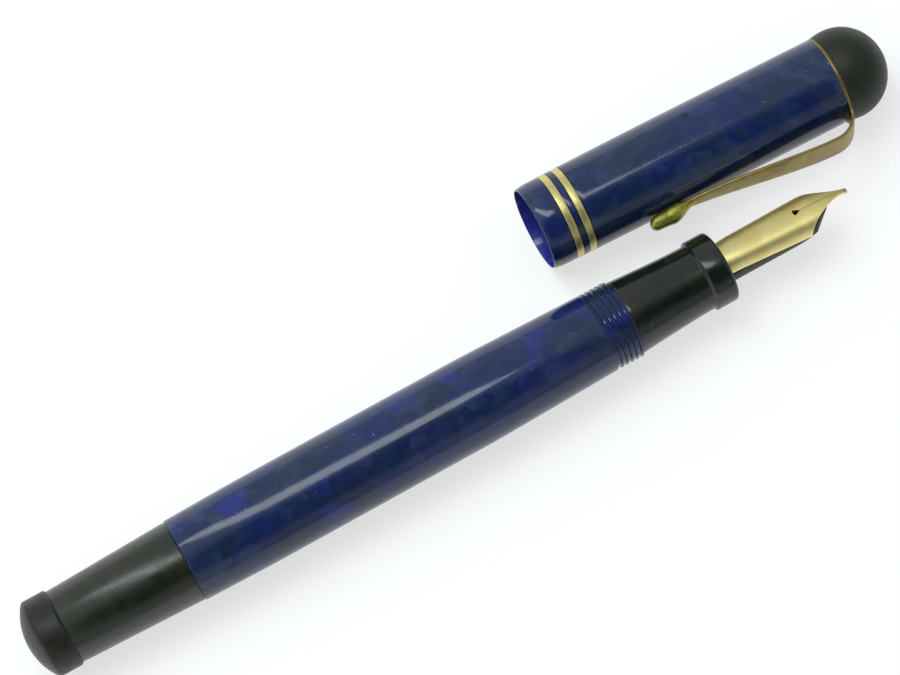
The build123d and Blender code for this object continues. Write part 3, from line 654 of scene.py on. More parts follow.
def make_cap_tube():
    """The cap's tube with its thin mouth, inner thread and collar."""
    relief_end = CAP_THREAD_RELIEF + THREAD_LENGTH + THREAD_PITCH
    outline = [
        *cap_outside(),
        (CAP_TUBE_LENGTH, CAP_COLLAR_BORE),
        (CAP_COLLAR_START, CAP_COLLAR_BORE),
        (CAP_COLLAR_START, CAP_BORE),
        (relief_end, CAP_BORE),
        (relief_end, CAP_THREAD_ROOT),
        (CAP_THREAD_RELIEF, CAP_THREAD_ROOT),
        (CAP_THREAD_RELIEF, CAP_MOUTH_BORE),
        (0, CAP_MOUTH_BORE),
        (0, CAP_RIM),
    ]
    tube = turn("cap_barrel", outline, edge=0.04)
    helix = thread("cap_inner_thread", CAP_THREAD_RELIEF + CAP_THREAD_LEAD, THREAD_TURNS,
                   CAP_THREAD_ROOT, CAP_THREAD_CREST)
    return onto_cap(join(tube, helix))


def make_band(name, start):
    """A thin gold ring, very slightly crowned."""
    end = start + BAND_WIDTH
    bore = BAND_RADIUS - BAND_THICKNESS + FIT_GAP
    outline = [
        (start, bore),
        (start, BAND_RADIUS - BAND_CROWN),
        ((start + end) / 2, BAND_RADIUS),
        (end, BAND_RADIUS - BAND_CROWN),
        (end, bore),
        (start, bore),
    ]
    return onto_cap(turn(name + "_ring", outline, edge=0.04))


def make_inner_cap():
    """The black liner inside the cap."""
    outer = CAP_BORE - FIT_GAP
    end = CAP_COLLAR_START - FIT_GAP
    outline = [
        (INNER_CAP_START, INNER_CAP_BORE + INNER_CAP_FLARE),
        (INNER_CAP_START, outer),
        (end, outer),
        (end, INNER_CAP_BORE),
        (INNER_CAP_START + INNER_CAP_FLARE, INNER_CAP_BORE),
        (INNER_CAP_START, INNER_CAP_BORE + INNER_CAP_FLARE),
    ]
    return onto_cap(turn("inner_liner", outline))


def make_cap_top():
    """The black dome that flares a little over the clip's ring, with its hollow stud."""
    outline = [
        (STUD_BORE_END, 0),
        (STUD_BORE_END, STUD_BORE),
        (CAP_COLLAR_START, STUD_BORE),
        (CAP_COLLAR_START, STUD_RADIUS),
        (CLIP_RING_END, STUD_RADIUS),
        *ease((CLIP_RING_END, CAP_TOP_BASE), CAP_TOP_BASE_SLOPE,
              (CAP_TOP_FLARE_END - CAP_TOP_BELT, CAP_TOP_FLARE), 0, 11),
        *reversed(arc((CAP_TOP_FLARE_END, 0), CAP_TOP_FLARE, CAP_TOP_DOME, 0, 90, 33)),
    ]
    return onto_cap(turn("cap_dome", outline))


# ---- the clip: a ring and a strap bent from one sheet, with a drawn ball at the strap's end ----
CLIP_LEAN = 78.0
CLIP_SHEET = 0.45
CLIP_EDGE = 0.16
CLIP_CROWN = 0.05
CLIP_WIDTH = 4.4
CLIP_NECK_WIDTH = 1.9
CLIP_FOOT_FLARE = 2.6
CLIP_FLARE_RISE = 1.6          # how far up the bend the foot's flare runs
CLIP_TAPER_START = 42.5
CLIP_RISER_X = 47.6
CLIP_RISER_FOOT = 5.65
CLIP_CREST = 9.85
CLIP_BEND = 3.9
CLIP_MIDDLE = (36.6, 9.22)
CLIP_WAIST = (27.5, 7.95)
CLIP_NECK = (21.2, 7.36)
CLIP_TONGUE_END = (20.2, 7.32)
CLIP_SLOPES = [0.0, 0.13, 0.125, 0.05, 0.03]  # at the bend's end and the four places above
# stations of the ball: (length, height, half depth, half width)
BALL = [(14.42, 7.95, 0.30, 0.38), (14.75, 7.92, 0.80, 1.00), (15.45, 7.82, 1.14, 1.34),
        (16.65, 7.76, 1.13, 1.14), (17.95, 7.84, 1.36, 1.52), (19.20, 7.65, 1.15, 1.34),
        (20.30, 7.40, 0.72, 0.94), (21.20, 7.38, 0.40, 0.86), (22.10, 7.44, 0.20, 0.78)]
BALL_SIDES = 24


def strap_profile():
    """Cross-section of the strap, as (x, y): rounded edges, slightly crowned outside."""
    half = CLIP_WIDTH / 2
    face = CLIP_SHEET / 2
    points = []
    for sign_x, sign_y, start in ((1, 1, 0), (-1, 1, 90), (-1, -1, 180), (1, -1, 270)):
        centre = (sign_x * (face - CLIP_EDGE), sign_y * (half - CLIP_EDGE))
        points += arc(centre, CLIP_EDGE, CLIP_EDGE, start, start + 90, 5)
    across = spread(-half + CLIP_EDGE, half - CLIP_EDGE, 7)[1:-1]
    return points + [(face + CLIP_CROWN * (1 - (y / half)**2), y) for y in across]


def strap_path():
    """Places (x, height) and directions in degrees along the strap, foot to tongue."""
    riser = spread(CLIP_RISER_FOOT, CLIP_CREST - CLIP_BEND, 5)
    stations = [((CLIP_RISER_X, height), 90.0) for height in riser]
    for angle in spread(0, 90, 17)[1:]:
        turned = math.radians(angle)
        place = (CLIP_RISER_X - CLIP_BEND + CLIP_BEND * math.cos(turned),
                 CLIP_CREST - CLIP_BEND + CLIP_BEND * math.sin(turned))
        stations.append((place, 90.0 + angle))
    bend_end = (CLIP_RISER_X - CLIP_BEND, CLIP_CREST)
    knots = list(zip([bend_end, CLIP_MIDDLE, CLIP_WAIST, CLIP_NECK, CLIP_TONGUE_END], CLIP_SLOPES))
    for start, end in zip(knots, knots[1:]):
        line = ease(*start, *end, 15)
        for before, place in zip(line, line[1:]):
            direction = math.degrees(math.atan2(place[1] - before[1], place[0] - before[0])) % 360
            stations.append((place, direction))
    return stations


def strap_width(x, height):
    """Full width: flared at the ring, even over the bend, then tapering more and more to the neck."""
    if x > CLIP_RISER_X - CLIP_BEND:
        flare_end = CLIP_CREST - CLIP_BEND + CLIP_FLARE_RISE
        rise = (height - CLIP_RISER_FOOT) / (flare_end - CLIP_RISER_FOOT)
        return CLIP_WIDTH + CLIP_FOOT_FLARE * (1 - min(max(rise, 0), 1))**2
    if x > CLIP_TAPER_START:
        return CLIP_WIDTH
    share = (CLIP_TAPER_START - x) / (CLIP_TAPER_START - CLIP_NECK[0])
    return CLIP_WIDTH - (CLIP_WIDTH - CLIP_NECK_WIDTH) * min(share, 1)**2


def draw_strap():
    """The strap, drawn out of its foot's cross-section along its path."""
    stations = strap_path()
    before, before_direction = stations[0]
    profile = [(before[0] + x, y, before[1]) for x, y in strap_profile()]
    strap = draw_wire("clip_strap", profile + profile[:1])
    bpy.ops.mesh.edge_face_add()
    width = strap_width(*before)
    bpy.ops.transform.resize(value=(1, width / CLIP_WIDTH, 1), center_override=(0, 0, 0))
    for place, direction in stations[1:]:
        step = ((place[0] - before[0]) * MM, 0, (place[1] - before[1]) * MM)
        pin = (place[0] * MM, 0, place[1] * MM)
        bpy.ops.mesh.extrude_region_move(TRANSFORM_OT_translate={"value": step})
        bpy.ops.transform.rotate(value=math.radians(direction - before_direction), orient_axis="Y",
                                 center_override=pin)
        new_width = strap_width(*place)
        bpy.ops.transform.resize(value=(1, new_width / width, 1), center_override=pin)
        before, before_direction, width = place, direction, new_width
    close_mesh()
    finish_edges(strap, width=0)
    return strap


def make_clip():
    """The ring under the cap top and the tapered spring strap."""
    bore = STUD_RADIUS + FIT_GAP
    outline = [
        (CAP_TUBE_LENGTH, bore),
        (CAP_TUBE_LENGTH, CLIP_RING_RADIUS),
        (CLIP_RING_END, CLIP_RING_RADIUS),
        (CLIP_RING_END, bore),
        (CAP_TUBE_LENGTH, bore),
    ]
    ring = turn("clip_spring", outline, edge=0.12)
    return onto_cap(join(ring, draw_strap()), CLIP_LEAN)


def make_clip_ball():
    """The drawn-out ball: a nose, a faint waist and a swelling that runs into the strap."""
    (x, height, depth, width), rest = BALL[0], BALL[1:]
    outline = [(x, width * math.sin(turned), height + depth * math.cos(turned))
               for turned in spread(0, math.tau, BALL_SIDES + 1)]
    ball = draw_wire("clip_ball_drop", outline)
    bpy.ops.mesh.edge_face_add()
    for new_x, new_height, new_depth, new_width in rest:
        step = ((new_x - x) * MM, 0, (new_height - height) * MM)
        bpy.ops.mesh.extrude_region_move(TRANSFORM_OT_translate={"value": step})
        bpy.ops.transform.resize(value=(1, new_width / width, new_depth / depth),
                                 center_override=(new_x * MM, 0, new_height * MM))
        x, height, depth, width = new_x, new_height, new_depth, new_width
    close_mesh()
    modify(ball, "SUBSURF", levels=2, render_levels=2)
    finish_edges(ball, width=0)
    return onto_cap(ball, CLIP_LEAN)


# ======== materials ========

def node(tree, kind, inputs=None, **settings):
    """One shader node; its inputs are numbers, colours or other nodes' outputs."""
    made = tree.nodes.new(kind)
    for key, value in settings.items():
        setattr(made, key, value)
    for key, value in (inputs or {}).items():
        if isinstance(value, bpy.types.NodeSocket):
            tree.links.new(value, made.inputs[key])
        else:
            made.inputs[key].default_value = value
    return made


def material(name):
    """An empty node material, its tree, its surface shader and object coordinates in millimetres."""
    made = bpy.data.materials.new(name)
    made.use_nodes = True
    tree = made.node_tree
    surface = tree.nodes["Principled BSDF"]
    place = node(tree, "ShaderNodeTexCoord").outputs["Object"]
    scaled = node(tree, "ShaderNodeMapping", {"Vector": place, "Scale": (1 / MM, 1 / MM, 1 / MM)})
    return made, tree, surface, scaled.outputs["Vector"]


def noise(tree, place, scale, detail=3.0, roughness=0.55, distortion=0.0):
    """Noise value over a place, its scale in features per millimetre."""
    made = node(tree, "ShaderNodeTexNoise", {"Vector": place, "Scale": scale, "Detail": detail,
                                             "Roughness": roughness, "Distortion": distortion})
    return made.outputs["Fac"]


def stretched(tree, place, scale):
    """The place scaled differently along each axis, so that a pattern is drawn out."""
    return node(tree, "ShaderNodeMapping", {"Vector": place, "Scale": scale}).outputs["Vector"]


def ramp(tree, value, stops, interpolation="LINEAR"):
    """Colours or greys along a value."""
    made = node(tree, "ShaderNodeValToRGB", {"Fac": value})
    made.color_ramp.interpolation = interpolation
    elements = made.color_ramp.elements
    while len(elements) < len(stops):
        elements.new(0.5)
    for element, (position, colour) in zip(elements, stops):
        element.position = position
        element.color = (*colour, 1) if isinstance(colour, tuple) else (colour, colour, colour, 1)
    return made.outputs["Color"]


def blend(tree, share, first, second):
    """Mixes two colours; the share is the second one's."""
    made = node(tree, "ShaderNodeMix", data_type="RGBA", blend_type="MIX")
    for index, value in ((0, share), (6, first), (7, second)):
        if isinstance(value, bpy.types.NodeSocket):
            tree.links.new(value, made.inputs[index])
        elif index == 0:
            made.inputs[0].default_value = value
        else:
            made.inputs[index].default_value = (*value, 1)
    return made.outputs[2]


def maths(tree, operation, first, second=0.0):
    """One sum on one or two values."""
    return node(tree, "ShaderNodeMath", {0: first, 1: second}, operation=operation).outputs[0]


def bump(tree, surface, height, strength, distance):
    """Gives the surface small relief, its depth in millimetres."""
    made = node(tree, "ShaderNodeBump", {"Height": height, "Strength": strength, "Distance": distance * MM})
    tree.links.new(made.outputs["Normal"], surface.inputs["Normal"])


def specks(tree, place, scale, size, empty):
    """A few small soft spots: 1 in a spot, 0 elsewhere; about the empty share of cells has none."""
    cells = node(tree, "ShaderNodeTexVoronoi", {"Vector": place, "Scale": scale, "Randomness": 1.0})
    spot = ramp(tree, cells.outputs["Distance"], [(size * 0.5, 1.0), (size, 0.0)])
    chance = node(tree, "ShaderNodeSeparateColor", {"Color": cells.outputs["Color"]}).outputs["Red"]
    lucky = maths(tree, "GREATER_THAN", chance, empty)
    return maths(tree, "MULTIPLY", spot, lucky)


def hairlines(tree, place, along, across, threshold):
    """Fine scratches, long along X: 1 in a scratch, 0 elsewhere."""
    drawn = stretched(tree, place, (along, across, across))
    lines = noise(tree, drawn, 1.0, detail=1.0, roughness=0.5, distortion=0.4)
    return ramp(tree, lines, [(threshold, 0.0), (threshold + 0.05, 1.0)])


def warped(tree, place, scale, reach):
    """The place pushed about by noise, so that the edges of a pattern run unevenly."""
    push = node(tree, "ShaderNodeTexNoise", {"Vector": place, "Scale": scale, "Detail": 3.0})
    centred = node(tree, "ShaderNodeVectorMath", {0: push.outputs["Color"], 1: (0.5, 0.5, 0.5)},
                   operation="SUBTRACT")
    scaled = node(tree, "ShaderNodeVectorMath", {0: centred.outputs[0], "Scale": reach}, operation="SCALE")
    moved = node(tree, "ShaderNodeVectorMath", {0: place, 1: scaled.outputs[0]}, operation="ADD")
    return moved.outputs[0]


def chips(tree, place, scale, softness):
    """Red, green and blue channels of random cell colours with softened edges."""
    cells = node(tree, "ShaderNodeTexVoronoi",
                 {"Vector": place, "Scale": scale, "Smoothness": softness, "Randomness": 1.0},
                 feature="SMOOTH_F1")
    return node(tree, "ShaderNodeSeparateColor", {"Color": cells.outputs["Color"]}).outputs


def blot(tree, place, centre, radius, softness=0.25):
    """One soft-edged spot at a chosen place: 1 inside it, 0 outside."""
    reach = node(tree, "ShaderNodeVectorMath", {0: place, 1: centre}, operation="DISTANCE")
    share = maths(tree, "DIVIDE", reach.outputs["Value"], 2 * radius)
    return ramp(tree, share, [(0.5 - softness, 1.0), (0.5 + softness, 0.0)])


def nicks(tree, place, scale, threshold):
    """A few short curved scratches: 1 in a scratch, 0 elsewhere."""
    bend = noise(tree, place, scale, detail=1.0, roughness=0.5)
    away = maths(tree, "ABSOLUTE", maths(tree, "SUBTRACT", bend, 0.5))
    line = ramp(tree, away, [(0.004, 1.0), (0.014, 0.0)])
    cover = noise(tree, place, scale * 1.7, detail=2.0, roughness=0.5)
    where = ramp(tree, cover, [(threshold, 0.0), (threshold + 0.04, 1.0)])
    return maths(tree, "MULTIPLY", line, where)


def lay_over(tree, share, strength, under, over):
    """Lays one colour over another where the share says so, at most as strongly as given."""
    return blend(tree, maths(tree, "MULTIPLY", share, strength), under, over)


NAVY = (0.0060, 0.0155, 0.0620)
SLATE = (0.0100, 0.0225, 0.0520)
DEEP_BLUE = (0.0080, 0.0175, 0.0900)
PURPLE = (0.0190, 0.0225, 0.0860)
VIVID_BLUE = (0.0110, 0.0180, 0.1900)
PALE_BLUE = (0.0300, 0.0500, 0.1030)
DARK_CHIP = (0.0050, 0.0120, 0.0400)
INK_SPOT = (0.0020, 0.0040, 0.0140)
BLUE_FLECK = (0.15, 0.19, 0.32)
BLUE_NICK = (0.14, 0.17, 0.26)
# painted light: a bright blue for the cap's inside, standing in for light shining through the resin wall
PAINTED_GLOW_BLUE = (0.0190, 0.0240, 0.2100)
PAINTED_GLOW_STOPS = [(0.602, 1.0), (0.612, 0.0)]  # along the distance from the axis, in centimetres
BAND_LINE = (0.0040, 0.0030, 0.0060)
BAND_LINE_STOPS = [(0.12, 0.9), (0.22, 0.0)]  # along the distance from a band's edge


def cap_glow_and_band_lines(tree, place, colour):
    """Adds painted light, a brighter blue inside the cap that stands in for light shining through its wall,
    and the thin dark lines along its gold bands.
    """
    lie = {"Vector": place, "Location": cap_mouth / MM, "Rotation": (0, 0, cap_yaw)}
    turned = node(tree, "ShaderNodeMapping", lie, vector_type="TEXTURE").outputs["Vector"]
    off_axis = stretched(tree, turned, (0, 1, 1))
    radius = node(tree, "ShaderNodeVectorMath", {0: off_axis}, operation="LENGTH").outputs["Value"]
    # painted light: the bore and the inner edge of the rim are coloured bright blue, as if lit through the
    # wall
    inside = ramp(tree, maths(tree, "DIVIDE", radius, 10), PAINTED_GLOW_STOPS)
    colour = blend(tree, inside, colour, PAINTED_GLOW_BLUE)
    along = node(tree, "ShaderNodeSeparateXYZ", {"Vector": turned}).outputs["X"]
    for start in BAND_STARTS.values():
        for edge in (start, start + BAND_WIDTH):
            away = maths(tree, "ABSOLUTE", maths(tree, "SUBTRACT", along, edge))
            colour = blend(tree, ramp(tree, away, BAND_LINE_STOPS), colour, BAND_LINE)
    return colour


def lapis_mottling(tree, uneven, vivid_share, vivid_spots):
    """Navy, slate and purple clouds with vivid, pale and dark chips."""
    clouds = noise(tree, uneven, 0.13, roughness=0.6)
    colour = ramp(tree, clouds, [(0.36, SLATE), (0.47, NAVY), (0.56, DEEP_BLUE), (0.66, NAVY)])
    large = chips(tree, uneven, scale=0.24, softness=0.60)
    colour = blend(tree, ramp(tree, large["Red"], [(0.52, 0.0), (0.88, 0.6)]), colour, PURPLE)
    colour = blend(tree, ramp(tree, large["Green"], [(0.46, 0.0), (0.80, 0.75)]), colour, SLATE)
    colour = blend(tree, ramp(tree, large["Blue"], [(0.74, 0.0), (0.94, vivid_share)]), colour, VIVID_BLUE)
    small = chips(tree, uneven, scale=0.62, softness=0.60)
    colour = blend(tree, ramp(tree, small["Red"], [(0.50, 0.0), (0.88, 0.35)]), colour, PALE_BLUE)
    colour = blend(tree, ramp(tree, small["Green"], [(0.50, 0.0), (0.84, 0.40)]), colour, DARK_CHIP)
    for centre, radius in vivid_spots:
        spot = blot(tree, uneven, centre, radius, softness=0.20)
        colour = lay_over(tree, spot, 0.65, colour, VIVID_BLUE)
    return colour


def make_lapis(name, vivid_share, vivid_spots=(), dark_spots=(), glow_and_lines=None):
    """Polished mottled blue resin with pale flecks and nicks, and with the painted glow inside the cap and
    the band lines where they are given.
    """
    made, tree, surface, place = material(name)
    uneven = warped(tree, stretched(tree, place, (0.8, 1.0, 1.0)), scale=0.45, reach=3.2)
    colour = lapis_mottling(tree, uneven, vivid_share, vivid_spots)
    for centre, radius in dark_spots:
        colour = blend(tree, blot(tree, place, centre, radius), colour, INK_SPOT)
    flecks = specks(tree, place, scale=0.45, size=0.09, empty=0.86)
    colour = lay_over(tree, flecks, 0.5, colour, BLUE_FLECK)
    marks = nicks(tree, place, scale=0.30, threshold=0.67)
    colour = lay_over(tree, marks, 0.35, colour, BLUE_NICK)
    # the cap's painted glow inside and its band lines are laid on here
    if glow_and_lines:
        colour = glow_and_lines(tree, place, colour)
    tree.links.new(colour, surface.inputs["Base Color"])
    rough = ramp(tree, noise(tree, place, 0.35), [(0.3, 0.09), (0.7, 0.15)])
    scratches = hairlines(tree, place, along=0.25, across=9.0, threshold=0.68)
    rough = lay_over(tree, scratches, 0.4, rough, (0.34, 0.34, 0.34))
    tree.links.new(rough, surface.inputs["Roughness"])
    surface.inputs["IOR"].default_value = 1.48
    bump(tree, surface, noise(tree, place, 0.6), strength=0.25, distance=0.02)
    return made


RUBBER_DUST = (0.11, 0.115, 0.11)
RUBBER_NICK = (0.11, 0.115, 0.10)


def make_ebonite(name, base, brown, rough_range, brown_spots=(), gloss=1.60):
    """Hard rubber, nearly black and faintly browned in patches, with dust and fine scratches."""
    made, tree, surface, place = material(name)
    uneven = warped(tree, place, scale=0.5, reach=2.0)
    patches = noise(tree, uneven, 0.20, detail=4.0, roughness=0.6)
    colour = blend(tree, ramp(tree, patches, [(0.45, 0.0), (0.68, 1.0)]), base, brown)
    for centre, radius in brown_spots:
        colour = lay_over(tree, blot(tree, uneven, centre, radius), 0.8, colour, brown)
    dust = specks(tree, place, scale=0.40, size=0.07, empty=0.86)
    colour = lay_over(tree, dust, 0.5, colour, RUBBER_DUST)
    marks = nicks(tree, place, scale=0.26, threshold=0.67)
    colour = lay_over(tree, marks, 0.4, colour, RUBBER_NICK)
    tree.links.new(colour, surface.inputs["Base Color"])
    low, high = rough_range
    rough = ramp(tree, noise(tree, uneven, 0.4, detail=4.0), [(0.3, low), (0.7, high)])
    scratches = hairlines(tree, place, along=0.4, across=8.0, threshold=0.66)
    rough = lay_over(tree, scratches, 0.4, rough, (0.5, 0.5, 0.5))
    tree.links.new(rough, surface.inputs["Roughness"])
    surface.inputs["IOR"].default_value = gloss
    relief = noise(tree, place, 0.9, detail=4.0, roughness=0.65)
    bump(tree, surface, relief, strength=0.30, distance=0.02)
    return made


def make_metal(name, base, worn, rough_range, patch, grain=(1, 1, 1), depth=0.01):
    """A metal with patches of tarnish or wear and a fine drawn grain."""
    made, tree, surface, place = material(name)
    patches = noise(tree, place, patch, detail=5.0, roughness=0.62, distortion=0.5)
    colour = blend(tree, ramp(tree, patches, [(0.42, 0.0), (0.66, 1.0)]), base, worn)
    tree.links.new(colour, surface.inputs["Base Color"])
    surface.inputs["Metallic"].default_value = 1.0
    lines = noise(tree, stretched(tree, place, grain), 1.0, roughness=0.6)
    low, high = rough_range
    tree.links.new(ramp(tree, lines, [(0.3, low), (0.7, high)]), surface.inputs["Roughness"])
    bump(tree, surface, lines, strength=0.3, distance=depth)
    return made


SAC_RUBBER = (0.030, 0.026, 0.022)
TALC = (0.10, 0.09, 0.08)


def make_rubber(name):
    """Soft matt rubber with a dusting of talc."""
    made, tree, surface, place = material(name)
    talc = noise(tree, place, 0.5, detail=5.0, roughness=0.7)
    colour = blend(tree, ramp(tree, talc, [(0.45, 0.0), (0.75, 0.5)]), SAC_RUBBER, TALC)
    tree.links.new(colour, surface.inputs["Base Color"])
    tree.links.new(ramp(tree, talc, [(0.3, 0.55), (0.7, 0.8)]), surface.inputs["Roughness"])
    bump(tree, surface, talc, strength=0.3, distance=0.03)
    return made


BLACK = (0.0062, 0.0115, 0.0045)
GRIP_BLACK = (0.0042, 0.0085, 0.0062)
KNOB_BLACK = (0.0075, 0.0085, 0.0055)
FEED_BLACK = (0.006, 0.006, 0.006)
BROWNED = (0.0135, 0.0135, 0.0085)
KNOB_BROWNED = (0.015, 0.013, 0.009)
FEED_BROWNED = (0.010, 0.009, 0.008)

# spots at chosen places, as (centre, radius) in millimetres
BARREL_CHIPS = [((-15.3, 2.6, 5.7), 1.7), ((12.0, 3.4, 5.4), 0.9)]
CAP_SPOT = [((62.8, 20.1, 5.9), 0.6)]
TAIL_BROWNING = [((-45.5, 3.5, 4.2), 2.2)]

# each metal: its base colour, its worn colour, and its least and greatest roughness
NIB_GOLD = ((0.95, 0.84, 0.37), (0.88, 0.73, 0.29), (0.42, 0.50))
TIPPING_ALLOY = ((0.55, 0.54, 0.48), (0.45, 0.42, 0.34), (0.22, 0.35))
GOLD_PLATE = ((0.78, 0.69, 0.30), (0.70, 0.60, 0.24), (0.36, 0.48))
CLIP_BRASS = ((0.30, 0.245, 0.08), (0.27, 0.175, 0.09), (0.30, 0.46))
BALL_BRASS = ((0.52, 0.52, 0.10), (0.24, 0.22, 0.05), (0.40, 0.58))
SPRING_STEEL = ((0.42, 0.42, 0.43), (0.34, 0.31, 0.28), (0.28, 0.45))
RIVET_BRASS = ((0.60, 0.48, 0.20), (0.45, 0.34, 0.15), (0.28, 0.42))
BUTTON_METAL = ((0.62, 0.62, 0.60), (0.50, 0.50, 0.49), (0.24, 0.38))

finishes = {
    "lapis_barrel": make_lapis("lapis_barrel", 0.50, vivid_spots=BARREL_CHIPS),
    # the cap's lapis also carries the painted glow inside it
    "lapis_cap": make_lapis("lapis_cap", 0.22, dark_spots=CAP_SPOT, glow_and_lines=cap_glow_and_band_lines),
    "black": make_ebonite("black_ebonite", BLACK, BROWNED, (0.18, 0.30)),
    "section": make_ebonite("section_ebonite", GRIP_BLACK, BROWNED, (0.12, 0.20), gloss=1.53),
    "tail": make_ebonite("tail_ebonite", BLACK, BROWNED, (0.20, 0.32), brown_spots=TAIL_BROWNING),
    "knob": make_ebonite("brown_ebonite", KNOB_BLACK, KNOB_BROWNED, (0.36, 0.52), gloss=1.48),
    "dome": make_ebonite("dome_ebonite", BLACK, BROWNED, (0.40, 0.54), gloss=1.42),
    "feed": make_ebonite("feed_ebonite", FEED_BLACK, FEED_BROWNED, (0.45, 0.60)),
    "nib": make_metal("nib_gold", *NIB_GOLD, patch=0.3, grain=(0.5, 2, 2), depth=0.003),
    "tipping": make_metal("tipping_alloy", *TIPPING_ALLOY, patch=1.0),
    "bands": make_metal("gold_plate", *GOLD_PLATE, patch=0.8, grain=(6, 0.8, 0.8), depth=0.004),
    "clip": make_metal("clip_brass", *CLIP_BRASS, patch=0.30, grain=(0.8, 3, 3), depth=0.02),
    "ball": make_metal("ball_brass", *BALL_BRASS, patch=1.1, grain=(1.6, 1.6, 1.6), depth=0.10),
    "sac": make_rubber("sac_rubber"),
    "steel": make_metal("spring_steel", *SPRING_STEEL, patch=0.3, grain=(0.5, 6, 6)),
    "rivets": make_metal("rivet_brass", *RIVET_BRASS, patch=0.8),
    "button": make_metal("button_metal", *BUTTON_METAL, patch=0.4, grain=(6, 0.6, 0.6)),
}


# ======== assembly ========

def dress(piece, finish, body, slot, *nodes):
    """Gives the piece its finish and its body, and hides the nodes that it stands for; the slot is not
    used.
    """
    piece.data.materials.clear()
    piece.data.materials.append(finishes[finish])
    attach(piece, body)
    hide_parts(*nodes)


dress(make_barrel(), "lapis_barrel", "pen", "lapis_blue", "barrel")
dress(make_section(), "section", "pen", "black_ebonite", "section")
dress(make_nib(), "nib", "pen", "nib_gold", "nib")
dress(make_bushing(), "black", "pen", "black_ebonite", "button_bushing")
dress(make_button(), "button", "button", "button_metal", "filler_button")
leaf = make_leaf()
dress(leaf, "steel", "pen", "spring_steel", "spring_leaf")
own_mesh(leaf)
dress(make_blind_cap(), "tail", "blind_cap", "black_ebonite", "blind_cap")
dress(make_tail_knob(), "knob", "blind_cap", "black_ebonite", "tail_knob")
dress(make_cap_tube(), "lapis_cap", "cap", "lapis_blue", "cap_tube")
for band, start in BAND_STARTS.items():
    dress(make_band(band, start), "bands", "cap", "gold_plate", band)
dress(make_inner_cap(), "black", "cap", "black_ebonite", "inner_cap")
dress(make_cap_top(), "dome", "cap", "black_ebonite", "cap_top")
dress(make_clip(), "clip", "cap", "clip_brass", "clip")
dress(make_clip_ball(), "ball", "cap", "clip_brass", "clip_ball")

# solids that are shown as they are
kept_nodes = {
    "nib_tipping": "tipping",
    "feed": "feed",
    "ink_sac": "sac",
    "presser_bar": "steel",
    "presser_rivets": "rivets",
}
for name, finish in kept_nodes.items():
    kept = frame["nodes"][name]
    kept.data.materials.clear()
    kept.data.materials.append(finishes[finish])


# ======== table, light and camera, placed in metres ========

TABLE_SIZE = 3.0
TABLE_GAP = 0.00002            # under the lowest solid
TABLE_TONES = [(0.3, (0.925, 0.930, 0.940)), (0.7, (0.935, 0.940, 0.950))]
TABLE_GLOW = 0.65              # share of plain white in what is seen or mirrored of the table


def make_table():
    """A wide pale table top that looks nearly white and keeps the object's soft shadow."""
    bpy.ops.object.select_all(action="DESELECT")
    bpy.ops.mesh.primitive_plane_add(size=TABLE_SIZE, location=(0, 0, floor_height - TABLE_GAP))
    table = bpy.context.object
    table.name = "table"
    apply_place(table)
    made, tree, surface, place = material("pale_table")
    tone = noise(tree, place, 0.01, detail=2.0)
    tree.links.new(ramp(tree, tone, TABLE_TONES), surface.inputs["Base Color"])
    surface.inputs["Roughness"].default_value = 0.85
    glow = node(tree, "ShaderNodeEmission", {"Color": (1, 1, 1, 1), "Strength": 1.0})
    rays = node(tree, "ShaderNodeLightPath")
    mirrored = maths(tree, "ADD", rays.outputs["Is Glossy Ray"], rays.outputs["Is Transmission Ray"])
    seen = maths(tree, "MAXIMUM", rays.outputs["Is Camera Ray"], mirrored)
    share = maths(tree, "MULTIPLY", seen, TABLE_GLOW)
    mixed = node(tree, "ShaderNodeMixShader", {0: share, 1: surface.outputs[0], 2: glow.outputs[0]})
    tree.links.new(mixed.outputs[0], tree.nodes["Material Output"].inputs["Surface"])
    table.data.materials.append(made)


CAMERA_AIM = Vector((0.018966, 0.009647, 0.0))
CAMERA_DISTANCE = 0.4622
CAMERA_ELEVATION = math.radians(75)
CAMERA_HEADING = math.radians(29.54)
CAMERA_LENS = 132.0            # the lens and the sensor in millimetres, as cameras have them
CAMERA_SENSOR = 36.0


def make_camera():
    """Looks steeply down, turned so that the pen lies from lower left to upper right."""
    level = math.cos(CAMERA_ELEVATION)
    away = Vector((-math.sin(CAMERA_HEADING) * level, -math.cos(CAMERA_HEADING) * level,
                   math.sin(CAMERA_ELEVATION)))
    bpy.ops.object.select_all(action="DESELECT")
    bpy.ops.object.camera_add(location=CAMERA_AIM + away * CAMERA_DISTANCE,
                              rotation=(math.pi / 2 - CAMERA_ELEVATION, 0, -CAMERA_HEADING))
    camera = bpy.context.object
    camera.data.lens = CAMERA_LENS
    camera.data.sensor_width = CAMERA_SENSOR
    camera.data.clip_start = 0.01
    bpy.context.scene.camera = camera


LAMP_COLOUR = (0.90, 0.98, 0.99)
LAMP_HEIGHT = 1.0
LAMP_LENGTH = 0.75
LAMP_WIDTH = 0.18
LAMP_RADIANCE = 5.0
LAMP_END = Vector((0.188, 0.005, 0.0))   # the place on the table under its near end
LAMP_TURN = math.radians(-59)
SKY_LIGHT_PLACE = Vector((-0.30, 0.50, 0.95))
SKY_LIGHT_SIZE = 0.70
SKY_LIGHT_RADIANCE = 5.6


def add_area_light(name, place, turned, length, width, radiance):
    """An area light, whose power follows from its size and how bright its face looks."""
    bpy.ops.object.select_all(action="DESELECT")
    bpy.ops.object.light_add(type="AREA", location=place, rotation=turned)
    lamp = bpy.context.object
    lamp.name = lamp.data.name = name
    lamp.data.shape = "RECTANGLE"
    lamp.data.size = length
    lamp.data.size_y = width
    lamp.data.energy = radiance * math.pi * length * width
    lamp.data.color = LAMP_COLOUR
    return lamp


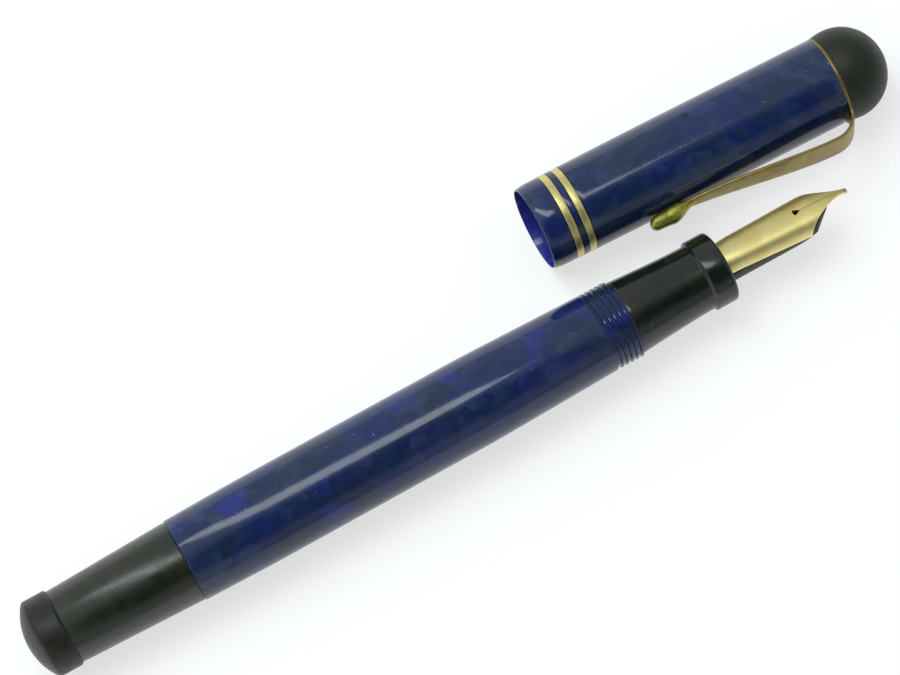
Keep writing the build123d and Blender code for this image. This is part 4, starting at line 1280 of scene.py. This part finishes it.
def make_lamps():
    """A long lamp overhead, and a big soft light from behind that leaves no reflection."""
    along = Vector((math.cos(LAMP_TURN), math.sin(LAMP_TURN), 0))
    centre = LAMP_END - along * LAMP_LENGTH / 2 + Vector((0, 0, LAMP_HEIGHT))
    add_area_light("long_lamp", centre, (0, 0, LAMP_TURN), LAMP_LENGTH, LAMP_WIDTH, LAMP_RADIANCE)
    facing = SKY_LIGHT_PLACE.to_track_quat("Z", "Y").to_euler()
    sky_light = add_area_light("sky_light", SKY_LIGHT_PLACE, facing, SKY_LIGHT_SIZE, SKY_LIGHT_SIZE,
                               SKY_LIGHT_RADIANCE)
    sky_light.visible_glossy = False


DARK_TILT = math.radians(34)             # the unlit part of the room, above the near side
DARK_TURN = math.radians(6)
DARK_SPREAD = (0.50, 0.62)
DARK_DEPTH = 1e6                         # so large that only the spread shapes the patch
ROOM_COLOUR = (0.94, 0.985, 0.985, 1.0)
ROOM_LIGHT = 0.60
ROOM_SLOPE = (-0.16, 0.10, 0.0)          # brighter towards the far left of the table
ROOM_DARKEST = 0.04


def make_room():
    """Pale light all round, brighter at the far left, with an unlit patch above the near side."""
    world = bpy.data.worlds.new("bright_room")
    bpy.context.scene.world = world
    world.use_nodes = True
    tree = world.node_tree
    tree.nodes.clear()
    way = node(tree, "ShaderNodeTexCoord").outputs["Generated"]
    lie = {"Vector": way, "Rotation": (DARK_TILT, 0, DARK_TURN), "Scale": (*DARK_SPREAD, DARK_DEPTH)}
    turned = node(tree, "ShaderNodeMapping", lie, vector_type="TEXTURE")
    patch = node(tree, "ShaderNodeTexGradient", {"Vector": turned.outputs[0]}, gradient_type="SPHERICAL")
    lit = ramp(tree, patch.outputs["Fac"], [(0.0, 1.0), (0.50, ROOM_DARKEST)], "EASE")
    slope = node(tree, "ShaderNodeVectorMath", {0: way, 1: ROOM_SLOPE}, operation="DOT_PRODUCT")
    level = maths(tree, "ADD", slope.outputs["Value"], ROOM_LIGHT)
    strength = maths(tree, "MULTIPLY", level, lit)
    back = node(tree, "ShaderNodeBackground", {"Color": ROOM_COLOUR, "Strength": strength})
    output = node(tree, "ShaderNodeOutputWorld")
    tree.links.new(back.outputs[0], output.inputs["Surface"])


make_table()
make_camera()
make_lamps()
make_room()
bpy.context.scene.view_settings.view_transform = "Standard"
